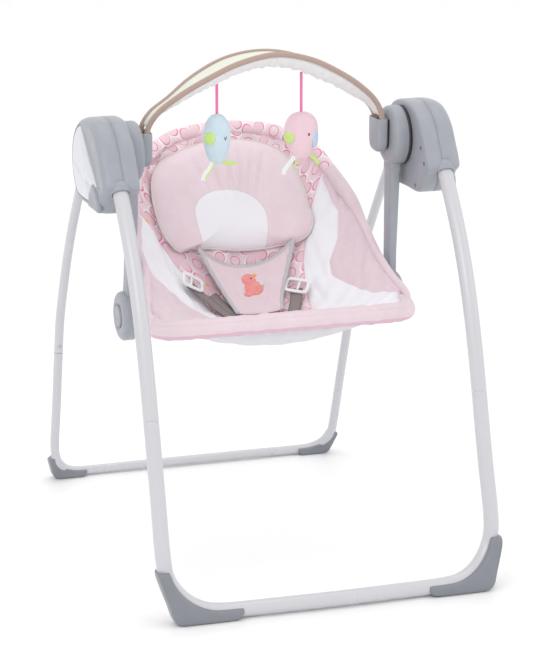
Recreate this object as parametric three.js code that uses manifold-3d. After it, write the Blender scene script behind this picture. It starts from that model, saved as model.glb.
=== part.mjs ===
// Portable folding baby swing: two U-shaped legs, two drive housings, a swinging seat and a toy bar.
// Millimetres, +Z up, the front faces -Y, and the origin is on the floor in the middle of the feet.
import * as THREE from 'three';
import { mergeVertices } from 'three/addons/utils/BufferGeometryUtils.js';
import Module from 'manifold-3d';

const wasm = await Module();
wasm.setup();

// ---------------------------------------------------------------- driving dimensions
const GAP = 0.3;                      // air left between two pieces that touch
const LEG_X = 277;                    // plane of the legs, each side
const FRONT_TUBE = 12.5;              // radius of the front tubes, 25 mm tube
const REAR_TUBE = 8;                  // radius of the rear tubes, 16 mm tube
const WALL = 1.4;                     // tube wall
const BORE_SIDES = 6;                 // sides of a tube's bore
const FRONT_Y = -390;                 // middle line of the front floor tube
const REAR_Y = 396;                   // middle line of the rear floor tube
const SWING = { y: -25, z: 683 };     // axis that the seat swings on
const FOLD = { y: 40, z: 662 };       // axis that the rear legs fold on
const RECLINE = { y: -8, z: 403 };    // axis that the seat tilts on
const HOUSING = { inner: 245, split: 272, outer: 305, wall: 2.6 };
const HUB = { inner: 215, outer: 241, radius: 50 };
const ARM_X = 228;                    // middle plane of the swing arms
const DISC = { inner: 224, outer: 248, radius: 41 };
const SIDES = { left: -1, right: 1 };

// ---------------------------------------------------------------- finishes
const finish = (color, roughness, metalness = 0) =>
  new THREE.MeshStandardMaterial({ color, roughness, metalness });
const GREY_PLASTIC = finish(0xa9adb6, 0.45);
const LIGHT_PLASTIC = finish(0xe4e6ec, 0.35);
const WHITE_PLASTIC = finish(0xf4f4f4, 0.4);
const BLACK_PLASTIC = finish(0x2a2b2e, 0.5);
const PEARL_PAINT = finish(0xdedfe4, 0.3, 0.2);
const BRIGHT_STEEL = finish(0xb8bcc2, 0.3, 0.9);
const PINK_VELOUR = finish(0xf0cfd8, 0.9);
const WHITE_CLOTH = finish(0xf3f1f6, 0.9);
const CREAM_MESH = finish(0xeeecdc, 0.85);
const TAUPE_PIPING = finish(0xb99d90, 0.8);
const TAUPE_WEBBING = finish(0x9b8e8c, 0.8);
const HOT_PINK = finish(0xf08cba, 0.7);
const TOY_BLUE = finish(0xc6dcea, 0.9);
const TOY_PINK = finish(0xf3c8d6, 0.9);

// ---------------------------------------------------------------- solids
const V = (x, y, z) => new THREE.Vector3(x, y, z);

/** A closed mesh as a solid that can be joined and cut. */
function solid(geometry) {
  const g = geometry.clone();
  g.deleteAttribute('normal');
  g.deleteAttribute('uv');
  const m = mergeVertices(g, 1e-3);
  const vertProperties = new Float32Array(m.attributes.position.array);
  const triVerts = new Uint32Array(m.index.array);
  return new wasm.Manifold(new wasm.Mesh({ numProp: 3, vertProperties, triVerts }));
}

/** A solid back as a mesh geometry. */
function shell(manifold) {
  const mesh = manifold.getMesh();
  const g = new THREE.BufferGeometry();
  g.setAttribute('position', new THREE.BufferAttribute(mesh.vertProperties, 3));
  g.setIndex(new THREE.BufferAttribute(mesh.triVerts, 1));
  g.computeVertexNormals();
  return g;
}

const join = (first, ...rest) => rest.reduce((a, b) => a.add(b), first);
const cut = (first, ...rest) => rest.reduce((a, b) => a.subtract(b), first);

/** A bar of round section between two X positions, about the axis (y, z). */
function roundX(y, z, x0, x1, radius, segments = 16) {
  const g = new THREE.CylinderGeometry(radius, radius, Math.abs(x1 - x0), segments);
  g.rotateZ(Math.PI / 2);
  g.translate((x0 + x1) / 2, y, z);
  return solid(g);
}

/** A round bar from point a to point b. */
function rod(a, b, radius, segments = 8) {
  const length = a.distanceTo(b);
  const g = new THREE.CylinderGeometry(radius, radius, length, segments);
  const turn = new THREE.Quaternion().setFromUnitVectors(V(0, 1, 0), b.clone().sub(a).normalize());
  g.applyQuaternion(turn);
  const middle = a.clone().add(b).multiplyScalar(0.5);
  g.translate(middle.x, middle.y, middle.z);
  return solid(g);
}

/** A block from its lowest to its highest corner. */
function block(x0, y0, z0, x1, y1, z1) {
  const g = new THREE.BoxGeometry(Math.abs(x1 - x0), Math.abs(y1 - y0), Math.abs(z1 - z0));
  g.translate((x0 + x1) / 2, (y0 + y1) / 2, (z0 + z1) / 2);
  return solid(g);
}

/** An outline of [y, z] points made a plate between two X positions. */
function plateX(outline, x0, x1) {
  const shape = new THREE.Shape(outline.map(([y, z]) => new THREE.Vector2(y, z)));
  const g = new THREE.ExtrudeGeometry(shape, { depth: Math.abs(x1 - x0), bevelEnabled: false });
  g.applyMatrix4(new THREE.Matrix4().makeBasis(V(0, 1, 0), V(0, 0, 1), V(1, 0, 0)));
  g.translate(Math.min(x0, x1), 0, 0);
  return solid(g);
}

/** A tube with a bore along a curve; no bore when the wall is 0. */
function tube(curve, radius, wall, steps, sides = 8) {
  const ring = (r, n) => Array.from({ length: n }, (_, i) => {
    const a = (2 * Math.PI * i) / n;
    return new THREE.Vector2(r * Math.cos(a), r * Math.sin(a));
  });
  const section = new THREE.Shape(ring(radius, sides));
  if (wall > 0) section.holes.push(new THREE.Path(ring(radius - wall, BORE_SIDES)));
  return new THREE.ExtrudeGeometry(section, { steps, extrudePath: curve, curveSegments: 1 });
}

const spline = (points) => new THREE.CatmullRomCurve3(points, false, 'centripetal');

/** The smooth closed outline through [y, z] points, with n points. */
function smoothOutline(points, n) {
  const loop = new THREE.CatmullRomCurve3(points.map(([y, z]) => V(y, z, 0)), true, 'centripetal');
  return loop.getSpacedPoints(n).slice(0, n).map((p) => [p.x, p.y]);
}

/** An outline with every point moved inwards by d. */
function inset(outline, d) {
  const n = outline.length;
  return outline.map(([y, z], i) => {
    const [py, pz] = outline[(i + n - 1) % n];
    const [ny, nz] = outline[(i + 1) % n];
    const length = Math.hypot(ny - py, nz - pz);
    return [y - ((nz - pz) / length) * d, z + ((ny - py) / length) * d];
  });
}

/** Turns a closed mesh the right way out: its faces must enclose a positive volume. */
function facingOut(g) {
  const p = g.attributes.position;
  const index = g.index.array;
  const [a, b, c] = [V(), V(), V()];
  let volume = 0;
  for (let i = 0; i < index.length; i += 3) {
    [a, b, c].forEach((v, k) => v.fromBufferAttribute(p, index[i + k]));
    volume += a.dot(b.cross(c));
  }
  if (volume < 0) {
    for (let i = 0; i < index.length; i += 3) [index[i], index[i + 1]] = [index[i + 1], index[i]];
  }
  g.computeVertexNormals();
  return g;
}

/** The closed solid through rings of points, with a fan over each end. */
function loft(rings) {
  const n = rings[0].length;
  const centre = (ring) => ring.reduce((a, b) => a.add(b), V(0, 0, 0)).divideScalar(n);
  const points = [...rings.flat(), centre(rings[0]), centre(rings.at(-1))];
  const index = [];
  const last = (rings.length - 1) * n;
  for (let j = 0; j < n; j += 1) {
    const k = (j + 1) % n;
    for (let i = 0; i < last; i += n) index.push(i + j, i + k, i + n + k, i + j, i + n + k, i + n + j);
    index.push(points.length - 2, k, j, points.length - 1, last + j, last + k);
  }
  const g = new THREE.BufferGeometry();
  g.setAttribute('position', new THREE.Float32BufferAttribute(points.flatMap((p) => [p.x, p.y, p.z]), 3));
  g.setIndex(index);
  return facingOut(g);
}

/** A level ring with rounded corners: half sizes hx and hy about (x, y) at height z. */
function roundedRing(x, y, z, hx, hy, n = 12, power = 0.6) {
  return Array.from({ length: n }, (_, i) => {
    const a = (2 * Math.PI * i) / n;
    const c = Math.cos(a);
    const s = Math.sin(a);
    return V(x + hx * Math.sign(c) * Math.abs(c) ** power, y + hy * Math.sign(s) * Math.abs(s) ** power, z);
  });
}

/** A turned piece about the X axis through (y, z), from [x, radius] points. */
function turnedX(y, z, profile, segments = 20) {
  const g = new THREE.LatheGeometry(profile.map(([x, r]) => new THREE.Vector2(r, x)), segments);
  g.rotateZ(-Math.PI / 2);
  g.translate(0, y, z);
  const m = mergeVertices(g.deleteAttribute('normal').deleteAttribute('uv'), 1e-3);
  return solid(facingOut(m));
}

/** The closed solid between two grids of points, with walls round their edges. */
function slab(top, bottom) {
  const rows = top.length;
  const cols = top[0].length;
  const position = [...top.flat(), ...bottom.flat()].flatMap((p) => [p.x, p.y, p.z]);
  const at = (layer, i, j) => layer * rows * cols + i * cols + j;
  const index = [];
  const quad = (a, b, c, d) => index.push(a, b, c, a, c, d);
  for (let i = 0; i < rows - 1; i += 1) {
    for (let j = 0; j < cols - 1; j += 1) {
      quad(at(0, i, j), at(0, i, j + 1), at(0, i + 1, j + 1), at(0, i + 1, j));
      quad(at(1, i, j), at(1, i + 1, j), at(1, i + 1, j + 1), at(1, i, j + 1));
    }
    quad(at(0, i + 1, 0), at(1, i + 1, 0), at(1, i, 0), at(0, i, 0));
    quad(at(0, i, cols - 1), at(1, i, cols - 1), at(1, i + 1, cols - 1), at(0, i + 1, cols - 1));
  }
  for (let j = 0; j < cols - 1; j += 1) {
    quad(at(0, 0, j), at(1, 0, j), at(1, 0, j + 1), at(0, 0, j + 1));
    quad(at(0, rows - 1, j + 1), at(1, rows - 1, j + 1), at(1, rows - 1, j), at(0, rows - 1, j));
  }
  const g = new THREE.BufferGeometry();
  g.setAttribute('position', new THREE.Float32BufferAttribute(position, 3));
  g.setIndex(index);
  return facingOut(g);
}

/** The same geometry mirrored to the other side of the swing. */
function onSide(geometry, side) {
  if (side > 0) return geometry;
  const g = geometry.clone();
  g.scale(-1, 1, 1);
  const index = g.index ? g.index.array.slice() : Array.from(g.attributes.position.array.keys());
  if (!g.index) return flipLoose(g);
  for (let i = 0; i < index.length; i += 3) [index[i], index[i + 1]] = [index[i + 1], index[i]];
  g.setIndex(new THREE.BufferAttribute(index, 1));
  g.computeVertexNormals();
  return g;
}

/** Loose triangles turned round, after a mirror. */
function flipLoose(g) {
  const p = g.attributes.position.array;
  for (let i = 0; i < p.length; i += 9) {
    for (let k = 0; k < 3; k += 1) [p[i + k], p[i + 3 + k]] = [p[i + 3 + k], p[i + k]];
  }
  g.computeVertexNormals();
  return g;
}

// ---------------------------------------------------------------- the assembly
const swing = new THREE.Group();

/** Adds one named piece to the swing. */
function add(name, geometry, material) {
  const mesh = new THREE.Mesh(geometry, material);
  mesh.name = name;
  swing.add(mesh);
}

/** Adds a left and a right piece from the geometry of the right one. */
function addPair(name, geometry, material) {
  for (const [word, side] of Object.entries(SIDES)) add(`${name}_${word}`, onSide(geometry, side), material);
}

// ---------------------------------------------------------------- front legs
const FRONT_EXIT = V(LEG_X, -135, 645);           // where a front leg leaves its housing
const FRONT_TOP = V(LEG_X, -107, 680);            // upper end of a front leg
const FRONT_SPLICE = V(LEG_X, -304, 308);         // where the upper tube meets the lower one
const FRONT_BEND = { x: 190, y: -366, z: 98 };    // the leg's straight part ends here
const FLOOR_TUBE_Z = 14.5;
const FRONT_STEPS = 34;                           // rings along the front U tube
const BOW = 6.5;                                  // the floor tube bows forward in its middle
const SPIGOT = 22;                                // how far a lower tube goes into the upper one
const SPIGOT_PLAY = 0.6;                          // clearance round a spigot
const SPLICE_GAP = 1.0;                           // gap between the two tube ends

const frontUpperPath = spline([
  FRONT_TOP, FRONT_EXIT, V(LEG_X, -176, 593), V(LEG_X, -213, 537), V(LEG_X, -245, 476),
  V(LEG_X, -271, 411), V(LEG_X, -289.5, 357), V(LEG_X, -303.8, 308 + SPLICE_GAP),
]);

/** Points of a U-shaped frame from its left splice over the floor to its right splice. */
function uFrame(splice, bend, floorY, floorZ, bow) {
  const half = [splice, V((splice.x + bend.legX) / 2, (splice.y + bend.y) / 2, (splice.z + bend.z) / 2)];
  const corner = 5;
  for (let i = 0; i <= corner; i += 1) {
    const a = (Math.PI / 2) * (i / corner);
    half.push(V(
      bend.x + (bend.legX - bend.x) * Math.cos(a),
      bend.y + (floorY - bend.y) * Math.sin(a) ** 2,
      bend.z - (bend.z - floorZ) * Math.sin(a),
    ));
  }
  half.push(V(bend.x / 2, floorY + bow * 0.75, floorZ));
  const mirrored = half.map((p) => V(-p.x, p.y, p.z));
  return spline([...mirrored, V(0, floorY + bow, floorZ), ...half.reverse()]);
}

const frontLowerPath = uFrame(
  FRONT_SPLICE, { ...FRONT_BEND, legX: LEG_X }, FRONT_Y, FLOOR_TUBE_Z, -BOW,
);

/** A U-shaped lower tube with a narrower spigot on each end. */
function lowerFrame(path, upperPath, radius, steps) {
  const start = path.getPointAt(0);
  const along = path.getTangentAt(0);
  const spigots = [-1, 1].map((side) => {
    const mirror = (p) => V(side * Math.abs(p.x), p.y, p.z);
    const lower = start.clone().addScaledVector(along, 8);
    const mouth = start.clone().addScaledVector(along, 1);
    const upper = upperPath.getPointAt(1 - SPIGOT / upperPath.getLength());
    const outer = (radius - WALL) * Math.cos(Math.PI / BORE_SIDES) - SPIGOT_PLAY;
    const collar = rod(mirror(lower), mirror(mouth), radius - WALL / 2, BORE_SIDES);
    const pin = join(rod(mirror(lower), mirror(upper), outer, BORE_SIDES), collar);
    lower.addScaledVector(along, 2);
    upper.addScaledVector(along, -2);
    return cut(pin, rod(mirror(lower), mirror(upper), outer - WALL, BORE_SIDES));
  });
  return join(solid(tube(path, radius, WALL, steps)), ...spigots);
}

/** The boot on a corner of a U frame: a wedge under the bend, hollowed by the tube. */
function foot(outline, centreY, halfDepth, lean, path, radius, steps) {
  const shape = new THREE.Shape(outline.map(([x, z]) => new THREE.Vector2(x, z)));
  const g = new THREE.ExtrudeGeometry(shape, {
    depth: 2 * halfDepth - 8, bevelEnabled: true, bevelThickness: 4, bevelSize: 3, bevelOffset: -3,
    bevelSegments: 1, curveSegments: 6,
  });
  g.applyMatrix4(new THREE.Matrix4().makeBasis(V(1, 0, 0), V(0, 0, 1), V(0, -1, 0)));
  g.translate(0, centreY + halfDepth - 4, 0);
  const p = g.attributes.position;
  for (let i = 0; i < p.count; i += 1) p.setY(i, p.getY(i) + lean * Math.max(0, p.getZ(i) - FLOOR_TUBE_Z));
  return shell(cut(solid(g), solid(tube(path, radius + GAP, 0, steps))));
}

/** The line along the inner side of a bend, from the floor up to the leg. */
function bendLine(bend, floorZ, dip, n) {
  return Array.from({ length: n + 1 }, (_, i) => {
    const a = (Math.PI / 2) * (1 - i / n);
    return [
      bend.x + (bend.legX - bend.x - dip) * Math.cos(a),
      bend.z - (bend.z - floorZ - dip) * Math.sin(a),
    ];
  });
}

function addFrontFrame() {
  addPair('front_upper_leg', tube(frontUpperPath, FRONT_TUBE, WALL, 11), PEARL_PAINT);
  const lower = lowerFrame(frontLowerPath, frontUpperPath, FRONT_TUBE, FRONT_STEPS);
  add('front_lower_frame', shell(lower), PEARL_PAINT);
  const bend = { ...FRONT_BEND, legX: LEG_X };
  const outline = [
    [156, 8], [164, 2], [180, 0], [258, 0], [266, 5], [290, 78], [277, 84],
    ...bendLine(bend, FLOOR_TUBE_Z, 5, 7).reverse().slice(1), [156, 20],
  ];
  const lean = (FRONT_BEND.y - FRONT_Y) / (FRONT_BEND.z - FLOOR_TUBE_Z);
  const boot = foot(outline, FRONT_Y, 19, lean, frontLowerPath, FRONT_TUBE, FRONT_STEPS);
  addPair('front_foot', boot, GREY_PLASTIC);
}

// ---------------------------------------------------------------- rear legs
const REAR_SPLICE = V(272, 311, 262);
const REAR_BEND = { x: 215, y: 373, z: 62, legX: 267 };
const REAR_TUBE_Z = 10;
const REAR_STEPS = 28;
const REAR_TOP = V(LEG_X - 0.5, 66, 651);

const rearUpperPath = spline([
  REAR_TOP, V(276.5, 95, 628), V(276, 137, 574), V(276, 180, 515), V(275, 225, 448),
  V(274, 262, 383), V(273, 293, 321), V(272, 310.7, 262 + SPLICE_GAP),
]);
const rearLowerPath = uFrame(REAR_SPLICE, REAR_BEND, REAR_Y, REAR_TUBE_Z, 0);

/** The moulded knuckle on top of a rear leg: a disc on trunnions with a sleeve for the tube. */
function rearKnuckle() {
  const end = rearUpperPath.getPointAt(0.035);
  const start = V(LEG_X, FOLD.y, FOLD.z);
  const sleeve = rod(start, end, 11.5, 20);
  const disc = roundX(FOLD.y, FOLD.z, LEG_X - 11.5, LEG_X + 11.5, 18);
  const trunnion = roundX(FOLD.y, FOLD.z, 249, 301, 5, 16);
  return shell(cut(join(disc, sleeve, trunnion), solid(tube(rearUpperPath, REAR_TUBE + GAP, 0, 11))));
}

function addRearFrame() {
  addPair('rear_upper_leg', tube(rearUpperPath, REAR_TUBE, WALL, 11), PEARL_PAINT);
  addPair('rear_knuckle', rearKnuckle(), GREY_PLASTIC);
  const lower = lowerFrame(rearLowerPath, rearUpperPath, REAR_TUBE, REAR_STEPS);
  add('rear_lower_frame', shell(lower), PEARL_PAINT);
  const outline = [
    [204, 4], [214, 0], [257, 0], [264, 4], [277, 38], [267, 44],
    ...bendLine(REAR_BEND, REAR_TUBE_Z, 3, 6).reverse().slice(1), [204, 13],
  ];
  const lean = (REAR_BEND.y - REAR_Y) / (REAR_BEND.z - REAR_TUBE_Z);
  const boot = foot(outline, REAR_Y, 13, lean, rearLowerPath, REAR_TUBE, REAR_STEPS);
  addPair('rear_foot', boot, GREY_PLASTIC);
}

// ---------------------------------------------------------------- drive housings
const houseOutline = smoothOutline([
  [-25, 742], [-66, 739], [-104, 716], [-127, 684], [-141, 662], [-146, 646], [-130, 632],
  [-116, 612], [-100, 599], [-50, 597], [10, 597], [36, 603], [60, 632], [68, 668], [56, 704],
  [20, 733],
], 30);
const LEG_SOCKET = 17;                            // radius of the boss round a front leg
const SHAFT = { radius: 8, x0: 226, x1: 298 };     // shaft that carries the seat
const BEARING = { bore: SHAFT.radius + GAP, outer: 14, x0: 245.6, x1: 258 };
const GEAR = { radius: 30, x0: 262, x1: 268 };
const PINION = { radius: 6, y: -43.2, z: 651.6 };
const MOTOR_RADIUS = 11;
const BUTTON_ARCH = { y: -85, z: 604, half: 30, top: 640, travel: 3 };

/** The side view of the fold button: flat at the bottom with a round top. */
function archOutline(grow) {
  const { y, z, half, top } = BUTTON_ARCH;
  const side = Array.from({ length: 9 }, (_, i) => {
    const a = (Math.PI * i) / 8;
    return [y + (half + grow) * Math.cos(a), z + (top - z + grow) * Math.sin(a)];
  });
  return [...side.slice(0, 9), [y - half - grow, z - grow], [y + half + grow, z - grow]];
}

/** Space that a rear leg and its knuckle sweep through when the frame folds. */
function foldSlot() {
  const rear = [
    [FOLD.y, 690], [FOLD.y + 20, 690], [140, 640], [170, 540], [FOLD.y - 26, 590], [FOLD.y - 26, 640],
  ];
  return plateX(rear, LEG_X - 13.5, LEG_X + 13.5);
}

/** Hollow half of a housing, between the split plane and its side wall. */
function halfShell(x0, x1, wallX0, wallX1) {
  const rim = plateX(houseOutline, x0, x1);
  return cut(rim, plateX(inset(houseOutline, HOUSING.wall), wallX0, wallX1));
}

/** Boss for the front leg, cut to the housing's outline and to one side of the split. */
function legBoss(x0, x1) {
  const boss = rod(V(LEG_X, -150, 632), V(LEG_X, -96, 694), LEG_SOCKET, 12);
  return boss.intersect(plateX(houseOutline, x0, x1));
}

function legBore() {
  return solid(tube(spline([
    V(LEG_X, -170, 601), V(LEG_X, -152.5, 623), FRONT_EXIT, V(LEG_X, -121, 662.5), FRONT_TOP,
    V(LEG_X, -106, 681.3),
  ]), FRONT_TUBE + 0.8, 0, 5, 12));
}

function innerShell() {
  const { inner, split, wall } = HOUSING;
  const hollow = halfShell(inner, split - GAP, inner + wall, split + 1);
  const bearingBoss = roundX(SWING.y, SWING.z, inner + 1, 261, BEARING.outer + 4);
  const foldBoss = roundX(FOLD.y, FOLD.z, inner + 1, 262, 9);
  return shell(cut(
    join(hollow, bearingBoss, foldBoss, legBoss(inner + 1, split - GAP)),
    roundX(SWING.y, SWING.z, inner - 1, 262, BEARING.outer + GAP),
    roundX(FOLD.y, FOLD.z, 248.6, 270, 5 + GAP, 20),
    legBore(), foldSlot(),
  ));
}

function outerShell() {
  const { split, outer, wall } = HOUSING;
  const hollow = halfShell(split, outer, split - 1, outer - wall);
  const foldBoss = roundX(FOLD.y, FOLD.z, 293, outer - 1, 9);
  return shell(cut(
    join(hollow, foldBoss, legBoss(split, outer - 1)),
    roundX(FOLD.y, FOLD.z, 280, 301.4, 5 + GAP, 20),
    plateX(archOutline(0.5), outer - 5 - BUTTON_ARCH.travel, outer + 1),
    legBore(), foldSlot(),
  ));
}

/** Pale cover on the outer side, cut by a slanted straight edge and notched for the fold button. */
function sidePanel(extraCut) {
  const { outer } = HOUSING;
  const plate = plateX(inset(houseOutline, 6), outer + GAP, outer + 4.5);
  const front = [[-14, 760], [-200, 760], [-200, 600], [-150, 600], [-14, 716]];
  const pieces = [plateX(front, outer - 1, outer + 6), plateX(archOutline(2.5), outer - 1, outer + 6)];
  pieces.push(block(outer - 1, -200, 590, outer + 6, -BUTTON_ARCH.half + BUTTON_ARCH.y + 6, 640));
  if (extraCut) pieces.push(extraCut);
  return shell(cut(plate, ...pieces));
}

function addHousings() {
  const { outer } = HOUSING;
  addPair('housing_inner_shell', innerShell(), GREY_PLASTIC);
  addPair('housing_outer_shell', outerShell(), GREY_PLASTIC);
  add('side_panel_left', onSide(sidePanel(), -1), LIGHT_PLASTIC);
  const knobSeat = roundX(0, 672, outer - 1, outer + 6, 16);
  add('side_panel_right', sidePanel(knobSeat), LIGHT_PLASTIC);
  add('speed_knob', shell(roundX(0, 672, outer + GAP, outer + 4.5, 15, 24)), GREY_PLASTIC);
  addPair('fold_button', shell(plateX(archOutline(0), outer - 4.8, outer + 4.2)), GREY_PLASTIC);
  const ring = cut(
    roundX(SWING.y, SWING.z, BEARING.x0, BEARING.x1, BEARING.outer),
    roundX(SWING.y, SWING.z, BEARING.x0 - 1, BEARING.x1 + 1, BEARING.bore),
  );
  addPair('shaft_bearing', shell(ring), WHITE_PLASTIC);
}

// ---------------------------------------------------------------- drive
const BATTERY = { radius: 13, y: [-76, -48], z: 622, x0: 249, x1: 297 };

function addDrive() {
  const { y, z } = SWING;
  const gear = cut(
    roundX(y, z, GEAR.x0, GEAR.x1, GEAR.radius, 24),
    roundX(y, z, GEAR.x0 - 1, GEAR.x1 + 1, SHAFT.radius + GAP),
  );
  add('drive_gear', shell(gear), WHITE_PLASTIC);
  add('motor_pinion', shell(join(
    roundX(PINION.y, PINION.z, GEAR.x0, GEAR.x1 - 0.5, PINION.radius, 16),
    roundX(PINION.y, PINION.z, GEAR.x1 - 1, GEAR.x1 + 7, 2, 10),
  )), WHITE_PLASTIC);
  const motor = cut(
    roundX(PINION.y, PINION.z, GEAR.x1 + 1.5, 299, MOTOR_RADIUS),
    roundX(PINION.y, PINION.z, GEAR.x1, GEAR.x1 + 8, 2 + GAP, 10),
  );
  add('drive_motor', shell(motor), BRIGHT_STEEL);
  BATTERY.y.forEach((by, i) => {
    const cell = roundX(by, BATTERY.z, -BATTERY.x1, -BATTERY.x0, BATTERY.radius, 18);
    add(`battery_cell_${i + 1}`, shell(cell), BLACK_PLASTIC);
  });
}

// ---------------------------------------------------------------- swing hubs and arms
const NECK = { z: 628, halfY: 20.5 };
const TENON = { halfX: 5, halfY: 11, height: 24 };
const CLIP_PIN = 10;                              // radius of the toy bar's pivot pin
const RECLINE_PIN = 6;
const RECLINE_BUTTON = { radius: 18, x0: 242, x1: 250 };

function hub() {
  const { inner, outer, radius } = HUB;
  const disc = turnedX(SWING.y, SWING.z, [
    [inner, 0], [inner, radius - 7], [inner + 1.8, radius - 3], [inner + 5, radius - 0.5],
    [inner + 8, radius], [outer, radius], [outer, 0],
  ], 24);
  const neckRing = (z, grow) => roundedRing(ARM_X, SWING.y, z, 10.5 + grow, NECK.halfY + grow);
  const neck = solid(loft([neckRing(NECK.z, 0), neckRing(650, 1)]));
  return shell(cut(
    join(disc, neck),
    roundX(SWING.y, SWING.z, SHAFT.x0 - GAP, outer + 1, SHAFT.radius + GAP),
    roundX(SWING.y, SWING.z, inner - 1, inner + 7.5, CLIP_PIN + GAP),
    block(ARM_X - TENON.halfX - GAP, SWING.y - TENON.halfY - GAP, NECK.z - 1,
      ARM_X + TENON.halfX + GAP, SWING.y + TENON.halfY + GAP, NECK.z + TENON.height + GAP),
  ));
}

function arm() {
  const bar = solid(loft([
    roundedRing(ARM_X, SWING.y, NECK.z - GAP, 9, 19), roundedRing(ARM_X, -22, 570, 8.8, 17),
    roundedRing(ARM_X + 1, -15.5, 480, 8, 14.5), roundedRing(ARM_X + 4, -9, 415, 7.5, 15),
  ]));
  const { inner, outer, radius } = DISC;
  const disc = turnedX(RECLINE.y, RECLINE.z, [
    [inner, 0], [inner, radius - 2], [inner + 2, radius], [outer - 7, radius],
    [outer - 3, radius - 3], [outer, radius - 10], [outer, 0],
  ], 24);
  const tenon = block(ARM_X - TENON.halfX, SWING.y - TENON.halfY, NECK.z - 3,
    ARM_X + TENON.halfX, SWING.y + TENON.halfY, NECK.z + TENON.height);
  return shell(cut(
    join(bar, disc, tenon),
    roundX(RECLINE.y, RECLINE.z, 210, 238, RECLINE_PIN + GAP, 16),
    roundX(RECLINE.y, RECLINE.z, RECLINE_BUTTON.x0 - 3.4, outer + 1, RECLINE_BUTTON.radius + 2 * GAP, 20),
  ));
}

function addSwingArms() {
  addPair('swing_hub', hub(), GREY_PLASTIC);
  addPair('swing_arm', arm(), GREY_PLASTIC);
  addPair('swing_shaft', shell(roundX(SWING.y, SWING.z, SHAFT.x0, SHAFT.x1, SHAFT.radius)), BRIGHT_STEEL);
  const { radius, x0, x1 } = RECLINE_BUTTON;
  const button = turnedX(RECLINE.y, RECLINE.z, [
    [x0, 0], [x0, radius], [x1 - 2, radius], [x1, radius - 3], [x1, 0],
  ]);
  addPair('recline_button', shell(button), GREY_PLASTIC);
}

// ---------------------------------------------------------------- toy bar and toys
const CLIP = { x0: 194, x1: 214.5, y: -20, halfY: 24, top: 714, bottom: 655 };
const ROD_RADIUS = 4;
const ROD_Y = { front: -38, rear: -3 };
const ROD_FOOT = 690;                             // the rods stand this deep in their clips
const TOYS = {
  left: { x: -86, y: -43, hang: 798, top: 740, height: 84, width: 46, depth: 38, material: TOY_BLUE },
  right: { x: 58, y: -47, hang: 804, top: 736, height: 80, width: 60, depth: 40, material: TOY_PINK },
};
const RIBBON = { width: 5, thickness: 1.2 };

/** The arch of one rod, from clip to clip. */
function rodPath(half) {
  return spline([...half, ...half.slice(0, -1).reverse().map((p) => V(-p.x, p.y, p.z))]);
}
const frontRodPath = rodPath([
  V(204, ROD_Y.front, ROD_FOOT), V(204, ROD_Y.front, 702), V(203.8, ROD_Y.front, 712),
  V(200.5, -41, 726), V(188, -48, 747),
  V(157, -63, 775), V(114, -78, 803), V(60, -89, 829), V(0, -95, 841),
]);
const rearRodPath = rodPath([
  V(204, ROD_Y.rear, ROD_FOOT), V(204, ROD_Y.rear, 702), V(203.8, ROD_Y.rear, 712),
  V(200, -3, 724), V(187, -2, 741),
  V(157, -1, 762), V(116, -1, 794), V(61, -2, 822), V(0, -4, 832),
]);

function clip() {
  const { y, halfY, top, bottom, x0, x1 } = CLIP;
  const bend = Array.from({ length: 9 }, (_, i) => {
    const a = Math.PI * (1 + i / 8);
    return [y + halfY * Math.cos(a), bottom + 20 + 20 * Math.sin(a)];
  });
  const body = plateX([...bend, [y + halfY, top], [y - halfY, top]], x0, x1);
  const corner = [-1, 1].map((side) => {
    const wedge = new THREE.BoxGeometry(10, 10, 100);
    wedge.rotateZ(Math.PI / 4);
    wedge.translate(x0 - 1, y + side * (halfY + 1), 690);
    return solid(wedge);
  });
  const bores = Object.values(ROD_Y).map((rodY) => (
    rod(V(204, rodY, ROD_FOOT - 1), V(204, rodY, 730), ROD_RADIUS + 1.5, 12)));
  const pin = roundX(SWING.y, SWING.z, x1 - 1, HUB.inner + 6.5, CLIP_PIN);
  return shell(cut(join(body, pin), ...corner, ...bores));
}

/** Mesh sleeve stretched between the two rods, with a soft belly under it. */
function sleeve() {
  const rows = 17;
  const grids = [[], []];
  for (let i = 0; i < rows; i += 1) {
    const t = 0.115 + (0.77 * i) / (rows - 1);
    const a = frontRodPath.getPointAt(t);
    const b = rearRodPath.getPointAt(t);
    const across = b.clone().sub(a);
    const up = across.clone().normalize().cross(frontRodPath.getTangentAt(t)).normalize();
    if (up.z < 0) up.negate();
    const margin = (ROD_RADIUS + 1) / across.length();
    [0, 1].forEach((layer) => grids[layer].push([0, 0.25, 0.5, 0.75, 1].map((s) => {
      const p = a.clone().addScaledVector(across, margin + s * (1 - 2 * margin));
      const sag = Math.sin(Math.PI * s);
      return p.addScaledVector(up, layer ? -2.2 - 12 * sag : 1 - 2 * sag);
    })));
  }
  return slab(grids[0], grids[1]);
}

/** The plump body of a hanging toy: an egg, wider at the bottom. */
function toyBody({ x, y, top, height, width, depth }) {
  const g = new THREE.SphereGeometry(1, 12, 8);
  g.rotateX(Math.PI / 2);
  const p = g.attributes.position;
  for (let i = 0; i < p.count; i += 1) {
    const lift = p.getZ(i);
    const full = 1 - 0.1 * lift;
    p.setXYZ(i, x + (width / 2) * full * p.getX(i), y + (depth / 2) * full * p.getY(i),
      top - height / 2 + (height / 2) * lift);
  }
  return shell(solid(g));
}

function ribbon({ x, y, hang, top }) {
  const ends = [hang - 1.8, (hang + top) / 2, top + GAP];
  return loft(ends.map((z) => roundedRing(x, y, z, RIBBON.width / 2, RIBBON.thickness / 2, 8)));
}

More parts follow.
